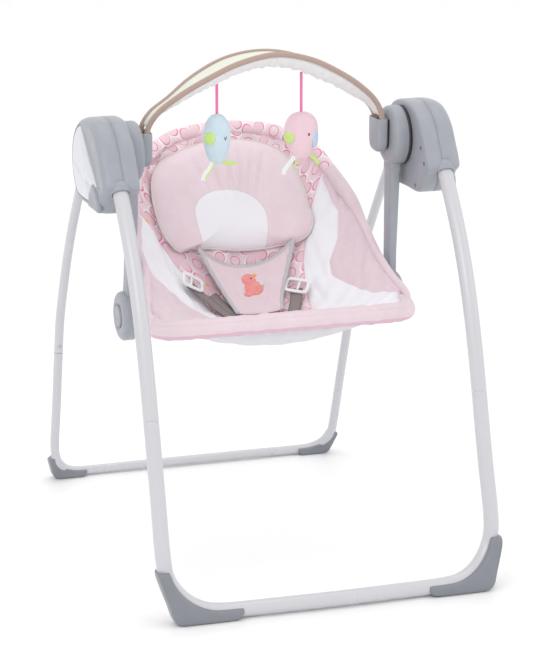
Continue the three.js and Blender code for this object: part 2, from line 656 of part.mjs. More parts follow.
function addToyBar() {
  addPair('toy_bar_clip', clip(), GREY_PLASTIC);
  add('toy_bar_front_rod', tube(frontRodPath, ROD_RADIUS, 0, 34, 6), TAUPE_PIPING);
  add('toy_bar_rear_rod', tube(rearRodPath, ROD_RADIUS, 0, 34, 6), TAUPE_PIPING);
  add('toy_bar_sleeve', sleeve(), CREAM_MESH);
  for (const [side, toy] of Object.entries(TOYS)) {
    add(`toy_${side}`, toyBody(toy), toy.material);
    add(`toy_ribbon_${side}`, ribbon(toy), HOT_PINK);
  }
}

// ---------------------------------------------------------------- seat frame
const KNUCKLE = { x0: 200.5, x1: 223.5, radius: 29 };
const frontHalf = [
  V(211, -22, 403.5), V(211, -60, 405), V(212, -105, 407), V(203, -139, 409), V(175, -156, 411),
  V(90, -166, 413.5), V(0, -168, 414),
];
const backHalf = [
  V(211, -1, 415), V(210, 25, 440), V(206, 54, 473), V(197, 90, 522), V(180, 128, 577),
  V(150, 166, 626), V(98, 193, 654), V(0, 206, 666),
];
const FRONT_HOOP = { path: rodPath(frontHalf), radius: 8, wall: 2.5, steps: 26 };
const BACK_HOOP = { path: rodPath(backHalf), radius: 6, wall: 1.2, steps: 32 };

/** Both seat hoops, grown by a clearance. */
function hoopSolids(clearance) {
  return [FRONT_HOOP, BACK_HOOP].map(({ path, radius, steps }) => (
    solid(tube(path, radius + clearance, 0, steps))));
}

function seatKnuckle() {
  const { x0, x1, radius } = KNUCKLE;
  const body = turnedX(RECLINE.y, RECLINE.z, [
    [x0, 0], [x0, radius - 4], [x0 + 4, radius], [x1, radius], [x1, 0],
  ]);
  const pin = roundX(RECLINE.y, RECLINE.z, x1 - 1, 237, RECLINE_PIN, 16);
  const bores = hoopSolids(GAP);
  return shell(cut(join(body, pin), ...bores));
}

function addSeatFrame() {
  addPair('seat_knuckle', seatKnuckle(), GREY_PLASTIC);
  const hoop = ({ path, radius, wall, steps }) => tube(path, radius, wall, steps);
  add('front_hoop', hoop(FRONT_HOOP), PEARL_PAINT);
  add('back_hoop', hoop(BACK_HOOP), PEARL_PAINT);
}

// ---------------------------------------------------------------- seat cover and padding
const COVER = 11;                                 // thickness of the padded cover
const seatMiddle = spline([
  V(0, -166, 418), V(0, -142, 404), V(0, -90, 380), V(0, -25, 372), V(0, 30, 388), V(0, 68, 422),
  V(0, 98, 467), V(0, 128, 527), V(0, 160, 592), V(0, 186, 642), V(0, 204, 672),
]);
const seatRim = spline([
  V(216, -138, 412), V(224, -108, 430), V(214, -68, 450), V(204, -22, 480), V(203, 38, 514),
  V(196, 80, 548), V(186, 118, 577), V(170, 152, 606), V(146, 178, 632), V(112, 194, 652),
  V(64, 203, 664),
]);
const HOLLOW = 2.2;                               // power of the cross curve: flat, then rising

/** A point of the seat's upper face: u runs from the front to the top, x is across. */
function seatPoint(u, x) {
  const middle = seatMiddle.getPoint(u);
  const rim = seatRim.getPoint(u);
  const v = x / rim.x;
  const rise = Math.abs(v) ** HOLLOW;
  return V(x, middle.y + (rim.y - middle.y) * rise, middle.z + (rim.z - middle.z) * rise);
}

/** A point that stands off the seat's upper face by a distance along its normal. */
function offSeat(u, x, distance) {
  const step = 0.01;
  const along = seatPoint(Math.min(1, u + step), x).sub(seatPoint(Math.max(0, u - step), x));
  const across = seatPoint(u, x + 2).sub(seatPoint(u, x - 2));
  const normal = across.cross(along).normalize();
  return seatPoint(u, x).addScaledVector(normal, distance);
}

const spread = (n, from = -1, to = 1) => (
  Array.from({ length: n }, (_, i) => from + ((to - from) * i) / (n - 1)));

/** A pad on the seat: half width and thickness are functions of r, 0 at its front edge to 1. */
function seatPad(u0, u1, rows, cols, halfWidth, thickness, clearance, middleX = () => 0) {
  const grid = (lift) => spread(rows, 0, 1).map((r) => spread(cols).map((s) => (
    offSeat(u0 + (u1 - u0) * r, middleX(r) + halfWidth(r) * s, lift(r, s)))));
  const top = grid((r, s) => clearance + 1 + thickness(r) * Math.sqrt(1 - 0.97 * s * s));
  return slab(top, grid(() => clearance));
}

function seatCover() {
  const grid = (lift) => spread(13, 0, 1).map((u) => (
    spread(11).map((s) => offSeat(u, s * seatRim.getPoint(u).x, lift))));
  const bucket = solid(slab(grid(0), grid(-COVER)));
  const roll = solid(tube(rodPath([V(214, -92, 407), ...frontHalf.slice(2)]), 17, 0, 16));
  const rim = solid(tube(rodPath(backHalf.slice(4)), 12, 0, 12));
  const knuckles = [-1, 1].map((side) => roundX(RECLINE.y, RECLINE.z, side * 199.5, side * 230, 31));
  return shell(cut(join(bucket, roll, rim), ...hoopSolids(2 * GAP), ...knuckles));
}

/** White sling under the seat, hanging from the front hoop to the back of the seat. */
function underSling() {
  const middle = spline([V(0, -146, 380), V(0, -100, 359), V(0, -40, 347), V(0, 20, 352), V(0, 78, 388)]);
  const grid = (lift) => spread(8, 0, 1).map((u) => {
    const p = middle.getPoint(u);
    return spread(9).map((s) => V(160 * s, p.y, p.z + 34 * Math.min(1, 2.5 * u) * s * s + lift));
  });
  return slab(grid(0), grid(-3));
}

function addSeatCover() {
  add('seat_cover', seatCover(), PINK_VELOUR);
  add('under_sling', underSling(), WHITE_CLOTH);
  const crown = (r) => Math.sqrt(1 - 0.93 * Math.max(0, (r - 0.45) / 0.55) ** 2);
  const pillowHalf = (r) => 135 * Math.min(1, 0.86 + 1.4 * r) * crown(r);
  const pillowPad = (r) => 17 * Math.sqrt(1 - 0.95 * (2 * r - 1) ** 2);
  add('head_pillow', seatPad(0.58, 0.91, 9, 11, pillowHalf, pillowPad, 5), PINK_VELOUR);
  const crotchHalf = (r) => 42 + 48 * r ** 1.3;
  add('crotch_panel', seatPad(0.29, 0.53, 7, 7, crotchHalf, () => 6, 5), PINK_VELOUR);
  const strap = (side, outer, inner) => seatPad(0.3, 0.44, 5, 3, () => 11, () => 1, 5,
    (r) => side * (inner + (outer - inner) * r));
  add('harness_strap_left', strap(-1, 122, 62), TAUPE_WEBBING);
  add('harness_strap_right', strap(1, 106, 62), TAUPE_WEBBING);
  const slide = (u, x) => seatPad(u - 0.012, u + 0.018, 2, 2, () => 15, () => 3, 9, () => x);
  add('strap_adjuster_left', slide(0.42, -113), WHITE_PLASTIC);
  add('strap_adjuster_right', slide(0.42, 100), WHITE_PLASTIC);
}

addFrontFrame();
addRearFrame();
addHousings();
addDrive();
addSwingArms();
addToyBar();
addSeatFrame();
addSeatCover();

export default swing;
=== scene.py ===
# %% [markdown]
# # A folding baby swing
# The real object is two U-shaped tube legs that meet in a left and a right housing. Two arms hang from
# the housings and carry a padded seat, and a fabric toy bar arches over it. The solid model gives every
# part its place, so this script only makes smoother, better finished surfaces in the same places.

# %% Load the solid model
import bpy
import numpy as np
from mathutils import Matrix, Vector


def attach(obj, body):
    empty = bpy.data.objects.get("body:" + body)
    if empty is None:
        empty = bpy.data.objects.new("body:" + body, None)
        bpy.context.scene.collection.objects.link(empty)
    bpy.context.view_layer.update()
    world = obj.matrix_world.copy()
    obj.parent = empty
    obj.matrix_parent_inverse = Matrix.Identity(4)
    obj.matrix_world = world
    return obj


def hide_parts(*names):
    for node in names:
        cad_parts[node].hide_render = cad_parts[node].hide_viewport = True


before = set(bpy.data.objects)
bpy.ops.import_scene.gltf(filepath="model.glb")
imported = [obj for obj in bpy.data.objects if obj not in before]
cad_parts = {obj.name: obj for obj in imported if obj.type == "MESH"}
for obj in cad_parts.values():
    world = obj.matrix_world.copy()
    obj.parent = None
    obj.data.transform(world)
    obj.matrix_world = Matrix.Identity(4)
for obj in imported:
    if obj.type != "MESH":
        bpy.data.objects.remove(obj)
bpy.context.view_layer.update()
MM = 0.001

# %% [markdown]
# ## Camera and light
# A long lens from 4.8 m keeps the perspective as flat as in a catalogue picture. A white floor, a bright
# even sky and three big soft lamps give a product shot with faint shadows under the feet. A sun lamp
# would be simpler, but it draws hard edges that such a picture doesn't have.

# %% Camera
camera = bpy.data.objects.new("camera", bpy.data.cameras.new("camera"))
camera.data.lens, camera.data.sensor_width = 154.2, 36
camera.location = (-1.4248, -4.3646, 1.5723)
camera.rotation_euler = Vector((0.3026, 0.9183, -0.2552)).to_track_quat("-Z", "Y").to_euler()
bpy.context.scene.collection.objects.link(camera)
bpy.context.scene.camera = camera

# %% Floor, sky and lamps
floor_mesh = bpy.data.meshes.new("floor")
FAR = 20.0     # metres from the middle of the floor to its edges
floor_mesh.from_pydata([(-FAR, -FAR, 0), (FAR, -FAR, 0), (FAR, FAR, 0), (-FAR, FAR, 0)], [], [(0, 1, 2, 3)])
floor = bpy.data.objects.new("floor", floor_mesh)
bpy.context.scene.collection.objects.link(floor)
floor_paint = bpy.data.materials.new("pale floor")
floor_paint.use_nodes = True
shader = floor_paint.node_tree.nodes["Principled BSDF"]
shader.inputs["Base Color"].default_value = (0.95, 0.95, 0.95, 1)
shader.inputs["Roughness"].default_value = 0.45
floor_mesh.materials.append(floor_paint)

sky = bpy.data.worlds.new("soft sky")
sky.use_nodes = True
sky.node_tree.nodes["Background"].inputs["Color"].default_value = (1.0, 1.0, 1.0, 1)
sky.node_tree.nodes["Background"].inputs["Strength"].default_value = 1.04
bpy.context.scene.world = sky
bpy.context.scene.view_settings.view_transform = "Standard"


def soft_lamp(name, place, target, width, power):
    """A square area lamp at place that faces target."""
    lamp = bpy.data.objects.new(name, bpy.data.lights.new(name, "AREA"))
    lamp.data.size, lamp.data.energy = width, power
    lamp.location = place
    lamp.rotation_euler = (Vector(target) - Vector(place)).to_track_quat("-Z", "Y").to_euler()
    bpy.context.scene.collection.objects.link(lamp)


soft_lamp("key lamp", (-2.6, -3.0, 3.2), (0, 0, 0.4), 2.2, 26)
soft_lamp("fill lamp", (3.2, -1.6, 2.0), (0, 0, 0.4), 2.4, 8)
soft_lamp("top lamp", (0.2, 0.6, 3.6), (0, 0, 0.3), 2.4, 12)
print("camera:", round(camera.location.length, 2), "m from the middle of the floor")

# %% [markdown]
# ## Curves and surfaces
# Almost every part here is a grid of points: a section carried along a path, or a set of rings. One
# function turns such a grid into a mesh, so each part only has to say where its points are. Blender's
# own curves with a bevel could make the tubes, but a grid also gives the UV map and the end caps.

# %% Curves


def spline(points, t):
    """Smooth curve through points, with t from 0 to 1 and an equal share for each span. It is the
    centripetal Catmull-Rom curve: each span is a cubic whose end slopes come from its neighbours,
    weighted by the square roots of the distances."""
    p = np.asarray(points, float)
    ends = np.vstack([2 * p[0] - p[1], p, 2 * p[-1] - p[-2]])
    place = np.clip(np.asarray(t, float), 0, 1) * (len(p) - 1)
    i = np.minimum(place.astype(int), len(p) - 2)
    w = (place - i)[:, None]
    a, b, c, d = ends[i], ends[i + 1], ends[i + 2], ends[i + 3]
    ab, bc, cd = (np.sqrt(np.linalg.norm(q - r, axis=1))[:, None] for q, r in ((b, a), (c, b), (d, c)))
    slope_b = ((b - a) / ab - (c - a) / (ab + bc) + (c - b) / bc) * bc
    slope_c = ((c - b) / bc - (d - b) / (bc + cd) + (d - c) / cd) * bc
    return (b + slope_b * w + (3 * (c - b) - 2 * slope_b - slope_c) * w**2
            + (2 * (b - c) + slope_b + slope_c) * w**3)


def distances(path):
    """Distance along a path at each of its points."""
    return np.concatenate([[0], np.cumsum(np.linalg.norm(np.diff(path, axis=0), axis=1))])


def walk(points, n, start=0.0, stop=1.0):
    """n points at even distances along the smooth curve through points, between two shares of it."""
    fine = spline(points, np.linspace(0, 1, 1500))
    run = distances(fine)
    want = np.linspace(start, stop, n) * run[-1]
    return np.stack([np.interp(want, run, fine[:, k]) for k in range(fine.shape[1])], axis=1)


def loop(points, n):
    """n points on the closed smooth curve through points, at equal shares of its spans."""
    p = np.asarray(points, float)
    thrice = np.vstack([p, p, p, p[:1]])
    count = len(p)
    return spline(thrice, (count + np.arange(n) / n * count) / (3 * count))


def mirrored(half):
    """A left-right symmetric path from its right half, which ends on the middle plane."""
    half = np.asarray(half, float)
    return np.vstack([half * (-1, 1, 1), half[-2::-1]])


def unit(v):
    """Vectors of length 1: v / |v|."""
    return v / np.maximum(np.linalg.norm(v, axis=-1, keepdims=True), 1e-12)


def round_angles(n):
    """n even angles of a full turn, from 0."""
    return np.arange(n) * 2 * np.pi / n


# %% Meshes


def surface(name, grid, around=False, capped=False, uv=None, layers=None):
    """An object from a grid of points (rows, columns, 3). Neighbouring points make four-sided faces.
    around joins the last column to the first. capped closes the first and last rows with a point at
    their middle, or, if it is "flat", with faces from each column to its partner on the other side.
    uv is a grid (rows, columns or columns + 1 if around, 2), and layers holds a named value per point."""
    rows, cols = grid.shape[:2]
    index = np.arange(rows * cols).reshape(rows, cols)
    if around:
        index = np.concatenate([index, index[:, :1]], axis=1)
    span = index.shape[1]
    points = grid.reshape(-1, 3)
    quads = np.stack([index[:-1, :-1], index[:-1, 1:], index[1:, 1:], index[1:, :-1]], -1).reshape(-1, 4)
    faces = quads.tolist()
    flat_uv = None if uv is None else [
        np.stack([uv[:-1, :-1], uv[:-1, 1:], uv[1:, 1:], uv[1:, :-1]], 2).reshape(-1, 2)]
    if capped == "flat":
        near = np.arange(cols // 2 - 1)
        pairs = np.stack([near, near + 1, cols - 2 - near, cols - 1 - near], 1)
        for row in (0, -1):
            order = pairs if row == -1 else pairs[:, ::-1]
            faces += index[row][order].tolist()
            if uv is not None:
                flat_uv.append(uv[row][order].reshape(-1, 2))
    elif capped:
        points = np.vstack([points, grid[0].mean(0), grid[-1].mean(0)])
        for row, middle in ((0, rows * cols), (-1, rows * cols + 1)):
            ring = index[row]
            fan = np.stack([ring[1:], ring[:-1], np.full(span - 1, middle)], 1)
            faces += (fan if row == 0 else fan[:, ::-1]).tolist()
            if uv is not None:
                tips = np.broadcast_to(uv[row].mean(0), (span - 1, 2))
                three = [uv[row, 1:], uv[row, :-1], tips]
                flat_uv.append(np.stack(three if row == 0 else three[::-1], 1).reshape(-1, 2))
    mesh = bpy.data.meshes.new(name)
    mesh.from_pydata(points.tolist(), [], faces)
    if uv is not None:
        mesh.uv_layers.new(name="UVMap").data.foreach_set("uv", np.concatenate(flat_uv).ravel())
    for key, values in (layers or {}).items():
        data = np.zeros(len(points))
        data[:rows * cols] = values.ravel()
        if capped is True:
            data[-2:] = values[0].mean(), values[-1].mean()
        mesh.attributes.new(key, "FLOAT", "POINT").data.foreach_set("value", data)
    mesh.polygons.foreach_set("use_smooth", np.ones(len(mesh.polygons), bool))
    if capped and around:
        outward(mesh)
    obj = bpy.data.objects.new(name, mesh)
    bpy.context.scene.collection.objects.link(obj)
    return obj


def outward(mesh):
    """Turns a closed mesh so that its faces point out: its signed volume, the sum over its triangles
    of the corner vectors' triple product over 6, has to be positive."""
    mesh.calc_loop_triangles()
    corners = np.empty(len(mesh.loop_triangles) * 3, int)
    mesh.loop_triangles.foreach_get("vertices", corners)
    points = np.empty(len(mesh.vertices) * 3)
    mesh.vertices.foreach_get("co", points)
    a, b, c = points.reshape(-1, 3)[corners.reshape(-1, 3)].transpose(1, 0, 2)
    if np.einsum("ij,ij->", a, np.cross(b, c)) < 0:
        mesh.flip_normals()


def finish(obj, body, slot, material, *nodes):
    """Gives a piece its material and the body that it moves with, and hides the solids that it
    stands for. slot is not used."""
    obj.data.materials.clear()
    obj.data.materials.append(material)
    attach(obj, body)
    if nodes:
        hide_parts(*nodes)
    return obj


# %% Sections carried along paths


def two_faced(face, back):
    """A closed section grid from the grid of a face and the grid of the back behind it."""
    return np.concatenate([face, back[:, ::-1]], axis=1)


def two_faced_uv(flat):
    """The UV grid of a two-faced piece: both faces share one layout, closed with its first column."""
    return np.concatenate([flat, flat[:, ::-1], flat[:, :1]], axis=1)


def round_uv(width, sides, run):
    """The UV grid of a carried section: 0 to width round its sides, and run along the path."""
    return np.stack(np.meshgrid(np.linspace(0, width, sides + 1), run), -1)


def carried(path, section, level):
    """A closed section, a grid (points, 2) or one per path point, carried along a path. level is a
    direction that the path never runs along: the section's first axis is level x tangent and its
    second axis is perpendicular to both."""
    tangent = unit(np.gradient(path, axis=0))
    across = unit(np.cross(np.broadcast_to(level, path.shape), tangent))
    up = np.cross(tangent, across)
    section = np.broadcast_to(section, (len(path),) + section.shape[-2:])
    return path[:, None] + section[..., :1] * across[:, None] + section[..., 1:] * up[:, None]


def rounded_ring(half_x, half_y, n, power=2.0):
    """n points of a superellipse: |x/a|^p + |y/b|^p = 1. Power 2 is an ellipse, 4 or more a rounded box."""
    angle = round_angles(n)
    c, s = np.cos(angle), np.sin(angle)
    return np.stack([half_x * np.sign(c) * np.abs(c) ** (2 / power),
                     half_y * np.sign(s) * np.abs(s) ** (2 / power)], -1)


def pipe(name, points, radius, level, steps, sides=28, lip=0.8 * MM):
    """A round tube whose ends are rounded over by lip: near an end the radius falls along a quarter
    circle. Its UV runs round the tube and along it, in metres."""
    path = walk(points, steps)
    run = distances(path)
    extra = lip * np.array([0.0, 0.15, 0.4, 0.7, 1.0])
    want = np.concatenate([extra, run[1:-1], run[-1] - extra[::-1]])
    path = np.stack([np.interp(want, run, path[:, k]) for k in range(3)], 1)
    gap = np.minimum(want, want[-1] - want)
    turned = radius - lip + np.sqrt(np.clip(lip**2 - (lip - np.minimum(gap, lip)) ** 2, 0, None))
    ring = rounded_ring(1, 1, sides)[None] * turned[:, None, None]
    grid = carried(path, ring, level)
    uv = round_uv(2 * np.pi * radius, sides, want)
    return surface(name, grid, around=True, capped=True, uv=uv)


def lathe(name, profile, centre, n=96):
    """A turned part about an axis along X: profile is a list of (x, radius)."""
    p = np.asarray(profile, float)
    angle = round_angles(n)
    grid = np.empty((len(p), n, 3))
    grid[..., 0] = p[:, :1]
    grid[..., 1] = centre[0] + p[:, 1:] * np.cos(angle)
    grid[..., 2] = centre[1] + p[:, 1:] * np.sin(angle)
    return surface(name, grid, around=True, capped=True)


SIDES = {"left": -1, "right": 1}


def flipped(grid, side):
    """The grid of a right part, or its mirror image for the left side."""
    return grid * (side, 1, 1)


print("quarter of a rounded box:", np.round(rounded_ring(1, 1, 8, 5)[:3], 2).tolist())

# %% [markdown]
# ## Surface effects
# Moulded plastic, painted tube, velour and woven cloth differ in their fine relief. Each relief is a node
# group that puts out a height and a tone, so that every material can use it at its own scale. The same
# nodes could be copied into every material, but then a change would have to be made many times.

# %% Node helpers


def put(tree, kind, inputs=None, **settings):
    """Adds a node to a tree. inputs gives a value or a socket for each input, by name or number."""
    node = tree.nodes.new(kind)
    for key, value in settings.items():
        setattr(node, key, value)
    for key, value in (inputs or {}).items():
        socket = node.inputs[key]
        if isinstance(value, bpy.types.NodeSocket):
            tree.links.new(value, socket)
        else:
            socket.default_value = value
    return node


def maths(tree, operation, a, b=0.0, c=0.0):
    """The output of one Math node."""
    return put(tree, "ShaderNodeMath", {0: a, 1: b, 2: c}, operation=operation).outputs[0]


def noise(tree, where, scale, detail=2.0, rough=0.5):
    """The value of a Noise texture, 0 to 1."""
    return put(tree, "ShaderNodeTexNoise", {"Vector": where, "Scale": scale, "Detail": detail,
                                            "Roughness": rough}).outputs["Fac"]


def hypotenuse(tree, a, b):
    """The distance sqrt(a^2 + b^2), from Math nodes."""
    squares = [maths(tree, "MULTIPLY", k, k) for k in (a, b)]
    return maths(tree, "SQRT", maths(tree, "ADD", *squares))


def mix(tree, share, a, b):
    """Colour a where share is 0 and colour b where it is 1. Each is a socket or three numbers."""
    node = put(tree, "ShaderNodeMix", {"Factor": share}, data_type="RGBA")
    for socket, value in ((node.inputs[6], a), (node.inputs[7], b)):
        if isinstance(value, bpy.types.NodeSocket):
            tree.links.new(value, socket)
        else:
            socket.default_value = (*value, 1)
    return node.outputs[2]


def spread(tree, value, low, high, to_low=0.0, to_high=1.0):
    """Maps value from low..high to to_low..to_high, and holds it there outside."""
    return put(tree, "ShaderNodeMapRange", {"Value": value, "From Min": low, "From Max": high,
                                            "To Min": to_low, "To Max": to_high}).outputs["Result"]


def effect(name, build):
    """A node group with a Vector and a Scale input and Height and Tone outputs, made by build."""
    tree = bpy.data.node_groups.new(name, "ShaderNodeTree")
    tree.interface.new_socket("Vector", in_out="INPUT", socket_type="NodeSocketVector")
    tree.interface.new_socket("Scale", in_out="INPUT", socket_type="NodeSocketFloat")
    tree.interface.new_socket("Height", in_out="OUTPUT", socket_type="NodeSocketFloat")
    tree.interface.new_socket("Tone", in_out="OUTPUT", socket_type="NodeSocketFloat")
    given = tree.nodes.new("NodeGroupInput")
    result = tree.nodes.new("NodeGroupOutput")
    height, tone = build(tree, given.outputs["Vector"], given.outputs["Scale"])
    tree.links.new(height, result.inputs["Height"])
    tree.links.new(tone, result.inputs["Tone"])
    return tree


# %% Moulded grain, pile, weave


def grain_nodes(tree, where, scale):
    """Spark-eroded mould grain: fine noise for height, broad soft noise for tone."""
    return noise(tree, where, scale, 3.0, 0.6), noise(tree, where, maths(tree, "MULTIPLY", scale, 0.03))


def pile_nodes(tree, where, scale):
    """Short velour pile: fine fibre noise for height, brushed patches for tone."""
    fibre = noise(tree, where, scale, 4.0, 0.7)
    brushed = noise(tree, where, maths(tree, "MULTIPLY", scale, 0.035), 3.0, 0.6)
    return maths(tree, "MULTIPLY_ADD", brushed, 0.4, fibre), brushed


def weave_nodes(tree, where, scale):
    """Plain weave: the product of two crossed sine waves, over threads of one unit each."""
    split = put(tree, "ShaderNodeSeparateXYZ", {"Vector": where})
    waves = [maths(tree, "SINE", maths(tree, "MULTIPLY", split.outputs[axis], scale)) for axis in "XY"]
    cross = maths(tree, "MULTIPLY", waves[0], waves[1])
    return cross, maths(tree, "MULTIPLY_ADD", cross, 0.5, 0.5)


mould_grain = effect("mould grain", grain_nodes)
velour_pile = effect("velour pile", pile_nodes)
plain_weave = effect("plain weave", weave_nodes)
print("effects:", [group.name for group in (mould_grain, velour_pile, plain_weave)])

# %% Materials made from an effect
TONE_RANGE = (0.3, 0.7)             # the middle of a noise, where nearly all its values lie
GRAIN, GLOSS = 0.00002, 0.000001    # height of mould grain and of a glossy skin's relief, in metres


def material(name, colour, dark, group, scale, relief, rough, source="Object", sheen=0.0, coat=0.0,
             metallic=0.0, paint=None):
    """A material whose colour runs from dark to colour with the group's tone. relief is the height of
    the bumps in metres, and paint may change the colour: it gets the tree, the coordinates and the
    colour and returns a new colour."""
    skin = bpy.data.materials.new(name)
    skin.use_nodes = True
    tree = skin.node_tree
    shader = tree.nodes["Principled BSDF"]
    where = tree.nodes.new("ShaderNodeTexCoord").outputs[source]
    look = tree.nodes.new("ShaderNodeGroup")
    look.node_tree = group
    tree.links.new(where, look.inputs["Vector"])
    look.inputs["Scale"].default_value = scale
    tint = mix(tree, spread(tree, look.outputs["Tone"], *TONE_RANGE), dark, colour)
    if paint:
        tint = paint(tree, where, tint)
    tree.links.new(tint, shader.inputs["Base Color"])
    tree.links.new(spread(tree, look.outputs["Tone"], *TONE_RANGE, rough + 0.04, rough - 0.04),
                   shader.inputs["Roughness"])
    bump = put(tree, "ShaderNodeBump", {"Height": look.outputs["Height"], "Strength": 1.0,
                                        "Distance": relief})
    tree.links.new(bump.outputs["Normal"], shader.inputs["Normal"])
    shader.inputs["Sheen Weight"].default_value = sheen
    shader.inputs["Coat Weight"].default_value = coat
    shader.inputs["Metallic"].default_value = metallic
    return skin


GREY = (0.335, 0.350, 0.390)
grey_plastic = material("grey moulded plastic", GREY, (0.322, 0.336, 0.375), mould_grain, 1600, GRAIN, 0.34)
foot_plastic = material("grey foot plastic", (0.225, 0.237, 0.268), (0.215, 0.226, 0.256), mould_grain, 1600,
                        GRAIN, 0.34)
panel_plastic = material("pale panel plastic", (0.64, 0.66, 0.71), (0.60, 0.625, 0.68), mould_grain, 300,
                         GLOSS, 0.2, coat=0.4)
white_plastic = material("white moulded plastic", (0.86, 0.86, 0.87), (0.82, 0.82, 0.83), mould_grain, 1500,
                         GRAIN, 0.35)
pearl_paint = material("pearl powder coat", (0.585, 0.585, 0.615), (0.575, 0.575, 0.605), mould_grain, 300,
                       GLOSS, 0.3, metallic=0.1, coat=0.3)
bare_steel = material("turned steel", (0.55, 0.56, 0.58), (0.48, 0.49, 0.5), mould_grain, 1200, 0.00001, 0.3,
                      metallic=1.0)
black_film = material("black wrap", (0.02, 0.02, 0.022), (0.015, 0.015, 0.017), mould_grain, 1200, 0.00001, 0.3)
# Near-black skin for painted shade: it colours holes and narrow gaps that look dark only because light can't
# reach into them.
painted_shade = material("shadowed recess", (0.05, 0.05, 0.055), (0.04, 0.04, 0.045), mould_grain, 900, GRAIN, 0.6)
print("hard materials:", len(bpy.data.materials))

# %% [markdown]
# ## Legs
# Each U-shaped leg is bent from one tube and plugs into two upper tubes. A bevelled curve object could
# make them too. Here a circle is carried along a measured path, and the lip of each tube end is rounded
# over, which draws the fine dark line that a real telescoped joint has.

# %% Tube paths
FRONT_LEG = MM * np.array([(277, -107, 680), (277, -135, 645), (277, -176, 593), (277, -213, 537),
                           (277, -245, 476), (277, -271, 411), (277, -289.5, 357), (277, -303.8, 308.6)])
REAR_LEG = MM * np.array([(276.5, 66, 651), (276.5, 95, 628), (276, 137, 574), (276, 180, 515),
                          (275, 225, 448), (274, 262, 383), (273, 293, 321), (272, 310.7, 262.6)])


def u_frame(splice, bend, leg_x, floor_y, floor_z, bow):
    """Points of a U frame: down the leg, round a quarter ellipse at the floor and over to the middle.
    At angle a the corner is x = bend + (leg - bend) cos a, z = bend - (bend - floor) sin a."""
    a = np.linspace(0, np.pi / 2, 6)
    corner = np.stack([bend[0] + (leg_x - bend[0]) * np.cos(a),
                       bend[1] + (floor_y - bend[1]) * np.sin(a) ** 2,
                       bend[2] - (bend[2] - floor_z) * np.sin(a)], 1)
    middle = [(splice[0] + leg_x) / 2, (splice[1] + bend[1]) / 2, (splice[2] + bend[2]) / 2]
    tail = [(bend[0] / 2, floor_y + bow * 0.75, floor_z), (0, floor_y + bow, floor_z)]
    return MM * mirrored(np.vstack([splice, middle, corner, tail]))


FRONT_U = u_frame((277, -304, 308), (190, -366, 98), 277, -390, 14.5, -6.5)
REAR_U = u_frame((272, 311, 262), (215, 373, 62), 267, 396, 10, 0)

# %% Tubes
FRONT_RADIUS, REAR_RADIUS = 12.5, 8.0
lower_tubes = {
    "front_lower_frame": (FRONT_U, FRONT_RADIUS, (0, 1, -0.25), "base", 240),
    "rear_lower_frame": (REAR_U, REAR_RADIUS, (0, 1, 0.25), "rear_frame", 220),
}
for name, (points, radius, level, body, steps) in lower_tubes.items():
    tube = pipe(f"{name}_tube", points, radius * MM, level, steps)
    finish(tube, body, "pearl_paint", pearl_paint, name)
for word, side in SIDES.items():
    for name, points, radius, body in (("front_upper_leg", FRONT_LEG, FRONT_RADIUS, "base"),
                                       ("rear_upper_leg", REAR_LEG, REAR_RADIUS, "rear_frame")):
        tube = pipe(f"{name}_{word}_tube", flipped(points, side), radius * MM, (1, 0, 0), 80)
        finish(tube, body, "pearl_paint", pearl_paint, f"{name}_{word}")
print("leg tubes:", round(float(distances(walk(FRONT_U, 400))[-1]), 3), "m in the front U")

# %% [markdown]
# ## Feet
# A foot is a boot pushed over the corner of a U frame. Its outer edge runs along the floor and up the
# side, its inner edge follows the tube, and every cross-section between the two is a rounded box. A box
# with a Bevel modifier would be quicker to make, but it couldn't follow the bend of the tube.

# %% Feet


def boot(name, outer, inner, half_depth, middle_y, lean, base_z, side):
    """Sections from an inner to an outer edge, both (x, z) lines: each is a superellipse of power 5
    whose long axis joins the two edges and whose other axis is the boot's depth."""
    n, end_rows, end_size = 70, 5, 0.75      # over its last rows the boot shrinks to end_size
    line_out = MM * walk([(x, 0, z) for x, z in outer], n)
    line_in = MM * walk([(x, 0, z) for x, z in inner], n)
    middle, reach = (line_out + line_in) / 2, (line_out - line_in) / 2
    ends = np.minimum(np.arange(n), np.arange(n)[::-1]) / end_rows
    swell = np.sqrt(1 - (1 - np.clip(ends, 0, 1)) ** 2) * (1 - end_size) + end_size
    ring = rounded_ring(1, 1, 48, 5)
    grid = middle[:, None] + ring[:, 0][None, :, None] * reach[:, None] * np.sqrt(swell)[:, None, None]
    grid[..., 1] = MM * middle_y + ring[:, 1] * half_depth * MM * swell[:, None]
    grid[..., 1] += lean * np.maximum(0, grid[..., 2] - base_z * MM)
    grid[..., 2] = np.maximum(grid[..., 2], 0)
    return surface(name, flipped(grid, side), around=True, capped=True)


def bend_line(bend_x, bend_z, leg_x, floor_z, dip, tail):
    """The tube's bend in (x, z), drawn inwards by dip: at angle a, x = bend + (leg - bend - dip) cos a
    and z = bend - (bend - floor - dip) sin a. It ends at tail."""
    a = np.linspace(0, np.pi / 2, 9)[1:]
    arc = np.stack([bend_x + (leg_x - bend_x - dip) * np.cos(a),
                    bend_z - (bend_z - floor_z - dip) * np.sin(a)], 1)
    return [*map(tuple, arc), tail]


